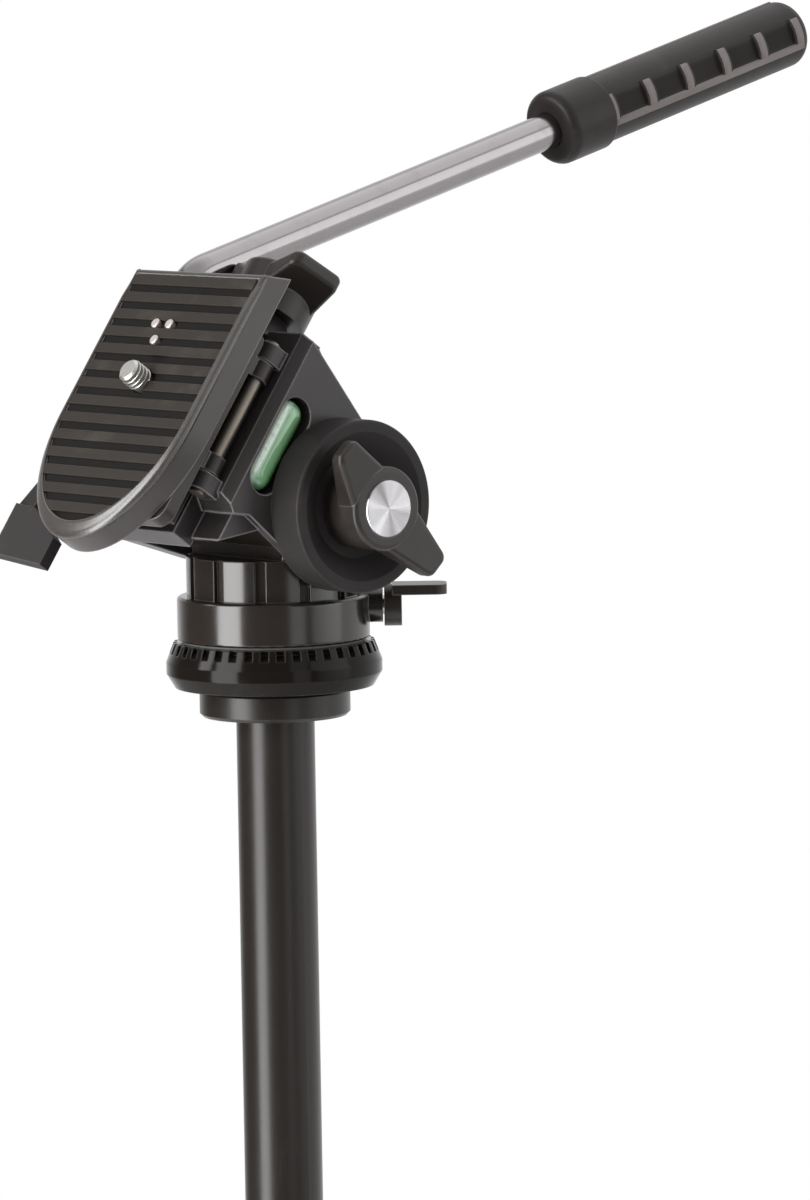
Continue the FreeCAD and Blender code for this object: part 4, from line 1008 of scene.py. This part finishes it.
@dataclass
class QuickPlate:
    """The plate with its lip, pad, screw, pips and release lever.

    The lip's profile runs from the pad's edge to the plate's, in shares of the width and the height.
    The thread's profile holds distances out from the stud and up along it.
    """

    dresser: Dresser
    nodes: Dressing = (
        ("quick_plate", Finish.SATIN_PLATE),
        ("plate_pad", Finish.PAD_RUBBER),
        ("camera_screw", Finish.SATIN_STEEL),
        ("plate_pips", Finish.PALE_METAL),
        ("plate_lever", Finish.MATT_DRUM),
    )
    nose_y: float = -8.05 * MM
    rear_y: float = 36.5 * MM
    side_steps: int = 10
    nose_steps: int = 72
    lip_half: float = 27.2 * MM
    lip_nose: float = 36.5 * MM
    pad_half: float = 25.35 * MM
    pad_nose: float = 31.75 * MM
    lip_run: float = 9.0 * MM
    lip_taper: float = 0.4
    lip_low: float = 52.4 * MM
    lip_top: float = 54.65 * MM
    lip_profile: tuple[Span, ...] = (
        (0.0, 0.85),
        (0.05, 0.97),
        (0.12, 1.0),
        (0.3, 0.93),
        (0.5, 0.83),
        (0.72, 0.72),
        (0.86, 0.58),
        (0.96, 0.32),
        (1.0, 0.0),
    )
    screw_y: float = 2.5 * MM
    thread_radius: float = 3.175 * MM
    thread_pitch: float = 1.27 * MM
    thread_low: float = 54.6 * MM
    thread_high: float = 59.2 * MM
    thread_steps: int = 28
    thread_profile: tuple[Span, ...] = (
        (-0.15 * MM, -0.3 * MM),
        (0.28 * MM, -0.04 * MM),
        (0.28 * MM, 0.04 * MM),
        (-0.15 * MM, 0.3 * MM),
    )

    def build(self) -> None:
        """Dresses the solids, then adds the lip and the screw's thread."""
        for node, finish in self.nodes:
            self.dresser.dress(node, finish)
        self.lip()
        self.thread()

    def outline(self, half_width: float, nose: float) -> list[Vector]:
        """An outline from the right rear corner round the nose to the left rear corner.

        Args:
            half_width: Half the width.
            nose: The nose's length past its middle.

        Returns:
            The points in order, level, at height 0.
        """
        run = self.nose_y - self.rear_y
        right = []
        for step in range(self.side_steps):
            right.append(Vector((half_width, self.rear_y + run * step / self.side_steps, 0.0)))
        front = []
        for index in range(self.nose_steps + 1):
            angle = math.pi * index / self.nose_steps
            reach = self.nose_y - nose * math.sin(angle)
            front.append(Vector((half_width * math.cos(angle), reach, 0.0)))
        left = [Vector((-point.x, point.y, 0.0)) for point in reversed(right)]
        return right + front + left

    def lip(self) -> None:
        """The plate's rounded lip, broad at the nose and lower towards the rear."""
        outer = self.outline(self.lip_half, self.lip_nose)
        inner = self.outline(self.pad_half, self.pad_nose)
        rings = []
        for far, near in zip(outer, inner):
            ring = [near + Vector((0.0, 0.0, self.lip_low))]
            ease = 1.0 - self.lip_taper * max(1.0 - (self.rear_y - far.y) / self.lip_run, 0.0)
            for share, rise in self.lip_profile:
                height = self.lip_low + (self.lip_top - self.lip_low) * rise * ease
                ring.append(near + (far - near) * share + Vector((0.0, 0.0, height)))
            rings.append(ring)
        obj = ring_piece("plate_lip", [rings], tilt_place())
        self.dresser.add(obj, Finish.POLISHED_LIP, "plate", "black_plastic")

    def thread(self) -> None:
        """The camera screw's thread, a ridge wound up its stud."""
        turns = (self.thread_high - self.thread_low) / self.thread_pitch
        rings = []
        for index in range(int(turns * self.thread_steps) + 1):
            angle = 2 * math.pi * index / self.thread_steps
            height = self.thread_low + self.thread_pitch * index / self.thread_steps
            ring = []
            for out, rise in self.thread_profile:
                reach = self.thread_radius + out
                side = self.screw_y + reach * math.sin(angle)
                ring.append(Vector((reach * math.cos(angle), side, height + rise)))
            rings.append(ring)
        obj = ring_piece("camera_screw_thread", [rings], tilt_place())
        self.dresser.add(obj, Finish.SATIN_STEEL, "screw", "bright_steel")


@dataclass
class PanHandle:
    """The bent tube and its rubber grip, with pale bars beside the grip's pockets that are painted
    highlights on its ridges.
    """

    dresser: Dresser
    nodes: Dressing = (
        ("handle_tube", None),
        ("handle_nut", None),
        ("handle_grip", Finish.GRIP_RUBBER),
    )
    grip_radius: float = 9.6 * MM
    rows: tuple[float, ...] = (-9.0, 111.0, 231.0)
    first_gap: float = 149.0 * MM
    pitch: float = 15.0 * MM
    pockets: int = 5
    half_width: float = 4.5 * MM
    bar_half: float = 1.5 * MM
    rail_half: float = 1.1 * MM
    ramp: float = 0.35 * MM
    proud: float = 0.35 * MM
    sunk: float = 0.4 * MM
    bar_steps: int = 10

    def build(self) -> None:
        """Dresses the solids and frames the grip's pockets."""
        for node, finish in self.nodes:
            self.dresser.dress(node, finish)
        for index, turn in enumerate(self.rows):
            self.frame(index, math.radians(turn))

    def place(self, turn: float) -> Matrix:
        """From a frame along the tube, turned about it, to the row frame."""
        along = Matrix.Rotation(-math.pi / 2 - HANDLE_BEND, 4, "X")
        return tilt_place() @ Matrix.Translation(HANDLE_CORNER) @ along @ Matrix.Rotation(turn, 4, "Z")

    def bar(self, across: Span, along: Span) -> Rings:
        """A low ridge that follows the grip's round side.

        Args:
            across: Its limits round the grip, as arc lengths from the row's middle.
            along: Its limits along the grip.

        Returns:
            The ridge's sections in order round the grip.
        """
        heights = (along[0], along[0] + self.ramp, along[1] - self.ramp, along[1])
        rings = []
        for step in range(self.bar_steps + 1):
            angle = (across[0] + (across[1] - across[0]) * step / self.bar_steps) / self.grip_radius
            inside = 0 < step < self.bar_steps
            ring = []
            for height, raised in zip(heights, (False, inside, inside, False)):
                reach = self.grip_radius + (self.proud if raised else -self.sunk)
                ring.append(Vector((reach * math.cos(angle), reach * math.sin(angle), height)))
            rings.append(ring)
        return rings

    def frame(self, index: int, turn: float) -> None:
        """The pale bars of one row of pockets and the rail along one side of them, painted as highlights
        on the ridges.

        Args:
            index: The row's number.
            turn: The row's place about the tube.
        """
        shells = []
        for bar in range(self.pockets + 1):
            middle = self.first_gap + bar * self.pitch
            along = (middle - self.bar_half, middle + self.bar_half)
            shells.append(self.bar((-self.half_width, self.half_width), along))
        last_gap = self.first_gap + self.pockets * self.pitch
        across = (self.half_width - self.rail_half, self.half_width + self.rail_half)
        shells.append(self.bar(across, (self.first_gap - self.bar_half, last_gap + self.bar_half)))
        obj = ring_piece(f"grip_frame_{index + 1}", shells, self.place(turn))
        self.dresser.add(obj, Finish.WORN_RUBBER, "tilt", "rubber")


@dataclass(frozen=True)
class LegLock:
    """A leg's lock: its carrying body, its collar's radius and its distance from the hinge."""

    name: str
    body: str
    radius: float
    down: float


@dataclass
class Leg:
    """One telescopic leg.

    The screw's profile holds the radius and height of each ring, and its sides or 0 where it is round.
    """

    dresser: Dresser
    name: str
    azimuth: float
    parts: tuple[str, ...] = (
        "top",
        "upper_tube",
        "upper_lock",
        "upper_lever",
        "middle_tube",
        "lower_lock",
        "lower_lever",
        "lower_tube",
        "foot",
    )
    locks: tuple[LegLock, ...] = (
        LegLock("upper", "leg", 15.6 * MM, 361.3 * MM),
        LegLock("lower", "leg_middle", 13.8 * MM, 390.2 * MM),
    )
    screw_angle: float = math.radians(-112.0)
    screw_profile: tuple[tuple[float, float, int], ...] = (
        (2.3 * MM, -1.0 * MM, 0),
        (2.3 * MM, 0.35 * MM, 0),
        (2.0 * MM, 0.6 * MM, 0),
        (1.15 * MM, 0.6 * MM, 6),
        (1.1 * MM, -0.5 * MM, 6),
    )
    foot_radius: float = 12.6 * MM
    foot_centre: float = 416.44 * MM
    treads: tuple[float, ...] = (-4.5 * MM, -1.5 * MM, 1.5 * MM)
    tread_half: float = 0.45 * MM
    tread_proud: float = 0.3 * MM
    tread_sides: int = 8
    tread_points: int = 64

    def build(self) -> None:
        """Dresses the solids, then adds the lock screws and the foot's treads."""
        for part in self.parts:
            self.dresser.dress(f"{self.name}_leg_{part}")
        for lock in self.locks:
            self.lock_screw(lock)
        for index, offset in enumerate(self.treads):
            self.tread(index, offset)

    def lock_screw(self, lock: LegLock) -> None:
        """The screw in a lock collar's side, with a hexagon pit.

        Args:
            lock: Which of the leg's locks.
        """
        turn = Matrix.Rotation(self.screw_angle, 4, "Z")
        outward = turn @ Matrix.Translation((lock.radius, 0.0, -lock.down))
        place = leg_place(self.azimuth) @ outward @ Matrix.Rotation(math.pi / 2, 4, "Y")
        rings = [circle(radius, height, sides=sides) for radius, height, sides in self.screw_profile]
        obj = ring_piece(f"{self.name}_leg_{lock.name}_lock_screw", [rings], place)
        self.dresser.add(obj, Finish.BRIGHT_STEEL, f"{self.name}_{lock.body}", "bright_steel")

    def tread(self, index: int, offset: float) -> None:
        """A raised ring round the foot.

        Args:
            index: The ring's number.
            offset: Its distance above the foot's centre along the leg.
        """
        rings = []
        for side in range(self.tread_sides):
            turn = 2 * math.pi * side / self.tread_sides
            height = offset + self.tread_half * math.cos(turn)
            surface = math.sqrt(self.foot_radius**2 - height**2)
            reach = surface + self.tread_proud * math.sin(turn)
            rings.append(circle(reach, height, self.tread_points))
        place = leg_place(self.azimuth) @ Matrix.Translation((0.0, 0.0, -self.foot_centre))
        obj = ring_piece(f"{self.name}_foot_tread_{index + 1}", [rings], place, closed=True)
        self.dresser.add(obj, Finish.RUBBER, f"{self.name}_leg_lower", "rubber")


@dataclass(frozen=True)
class Lamp:
    """A soft box that faces the head: its place and size in metres and its power in watts."""

    name: str
    position: Point
    size: Span
    power: float

    def build(self, target: Point) -> None:
        """Hangs the lamp.

        Args:
            target: The point that it faces.
        """
        data = bpy.data.lights.new(self.name, "AREA")
        data.shape = "RECTANGLE"
        data.size, data.size_y = self.size
        data.energy = self.power
        obj = bpy.data.objects.new(self.name, data)
        obj.location = self.position
        aim = Vector(target) - Vector(self.position)
        obj.rotation_euler = aim.to_track_quat("-Z", "Y").to_euler()
        bpy.context.scene.collection.objects.link(obj)


@dataclass
class Studio:
    """The floor, the world, the lamps and the camera."""

    floor_radius: float = 1.5
    floor_drop: float = 0.2 * MM
    floor_points: int = 96
    floor_colour: Colour = (0.9, 0.9, 0.9)
    floor_shade: Colour = (0.82, 0.82, 0.82)
    floor_roughness: float = 0.8
    floor_cloud: Noise = Noise(14.0)
    floor_cloud_share: float = 0.03
    floor_fade: Span = (0.45, 0.97)
    white: Colour = (1.0, 1.0, 1.0)
    soft: float = 0.5
    dim: float = 0.08
    dim_edge: float = -0.15
    white_edge: float = 0.55
    white_turn: float = math.radians(38.0)
    lamps: tuple[Lamp, ...] = (
        Lamp("front strip", (-0.05, -0.75, 0.6), (0.4, 1.18), 12.0),
        Lamp("front spark", (-0.57, -0.85, 1.24), (0.3, 0.5), 4.2),
        Lamp("right fill", (1.18, -0.22, 0.8), (0.4, 1.2), 1.6),
        Lamp("side box", (1.7, 0.9, 1.1), (1.6, 1.6), 10.5),
        Lamp("top box", (0.1, 0.1, 2.1), (2.6, 2.6), 16.0),
    )
    target: Point = (0.0, 0.0, HEAD_HEIGHT)
    azimuth: float = math.radians(49.29)
    elevation: float = math.radians(6.11)
    roll: float = math.radians(0.918)
    distance: float = 1.6007
    shift_right: float = 0.03487
    shift_up: float = 0.00368
    lens: float = 181.4
    sensor_height: float = 36.0
    clip_start: float = 0.05

    def build(self) -> None:
        """Builds the whole studio."""
        self.floor()
        self.world()
        for lamp in self.lamps:
            lamp.build(self.target)
        self.camera()
        bpy.context.scene.view_settings.view_transform = "Standard"

    def floor(self) -> None:
        """A pale round floor that fades out at its rim."""
        work = bmesh.new()
        bmesh.ops.create_circle(
            work, cap_ends=True, segments=self.floor_points, radius=self.floor_radius
        )
        obj = mesh_piece("floor", work, Matrix.Translation((0.0, 0.0, -self.floor_drop)))
        shader = Shader(bpy.data.materials.new("pale floor"))
        place = shader.place()
        mottle = shader.noise(place, self.floor_cloud) * self.floor_cloud_share
        colour = shader.blend(mottle, self.floor_colour, self.floor_shade)
        inputs = {"Base Color": colour, "Roughness": self.floor_roughness}
        surface = shader.make("ShaderNodeBsdfPrincipled", inputs)
        clear = shader.make("ShaderNodeBsdfTransparent")
        start, end = (self.floor_radius * share for share in self.floor_fade)
        fade = shader.vector("LENGTH", place, output="Value").band(start, end)
        mixed = shader.make("ShaderNodeMixShader", {0: fade, 1: surface.out(), 2: clear.out()})
        shader.make("ShaderNodeOutputMaterial", {"Surface": mixed.out()})
        obj.data.materials.append(shader.owner)

    def world(self) -> None:
        """A world that is white to the camera; shiny faces see it dim in front of the tripod."""
        world = bpy.data.worlds.new("studio")
        bpy.context.scene.world = world
        shader = Shader(world)
        path = shader.make("ShaderNodeLightPath")
        shiny = shader.math("MAXIMUM", path.out("Is Glossy Ray"), path.out("Is Transmission Ray"))
        direction = shader.make("ShaderNodeTexCoord").out("Generated")
        turn = self.azimuth - self.white_turn
        facing = shader.vector(
            "DOT_PRODUCT", direction, (-math.sin(turn), math.cos(turn), 0.0), "Value"
        )
        shine = self.dim + facing.band(self.dim_edge, self.white_edge) * (1.0 - self.dim)
        level = shader.pick(path.out("Is Camera Ray"), shader.pick(shiny, self.soft, shine), 1.0)
        sky = shader.make("ShaderNodeBackground", {"Color": self.white, "Strength": level})
        shader.make("ShaderNodeOutputWorld", {"Surface": sky.out()})

    def camera(self) -> None:
        """The camera at the photograph's viewing angle, upright frame."""
        data = bpy.data.cameras.new("camera")
        data.sensor_fit = "VERTICAL"
        data.sensor_height = self.sensor_height
        data.lens = self.lens
        data.clip_start = self.clip_start
        obj = bpy.data.objects.new("camera", data)
        sin_a, cos_a = math.sin(self.azimuth), math.cos(self.azimuth)
        sin_e, cos_e = math.sin(self.elevation), math.cos(self.elevation)
        sin_r, cos_r = math.sin(self.roll), math.cos(self.roll)
        back = Vector((sin_a * cos_e, -cos_a * cos_e, sin_e))
        right = Vector((cos_a, sin_a, 0.0))
        above = back.cross(right)
        centre = Vector(self.target) + right * self.shift_right + above * self.shift_up
        centre += back * self.distance
        across = right * cos_r - above * sin_r
        upward = right * sin_r + above * cos_r
        frame = Matrix((across, upward, back)).transposed().to_4x4()
        obj.matrix_world = Matrix.Translation(centre) @ frame
        bpy.context.scene.collection.objects.link(obj)
        bpy.context.scene.camera = obj


def main() -> None:
    """Builds the tripod's looks in order."""
    logging.basicConfig(level=logging.INFO, format="%(name)s: %(message)s")
    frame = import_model()
    dresser = Dresser(frame)
    ColumnAndCrown(dresser).build()
    PanBase(dresser).build()
    TiltHead(dresser).build()
    QuickPlate(dresser).build()
    PanHandle(dresser).build()
    for name, azimuth in LEGS.items():
        Leg(dresser, name, azimuth).build()
    Studio().build()
    bpy.context.view_layer.update()


if __name__ == "__main__":
    main()
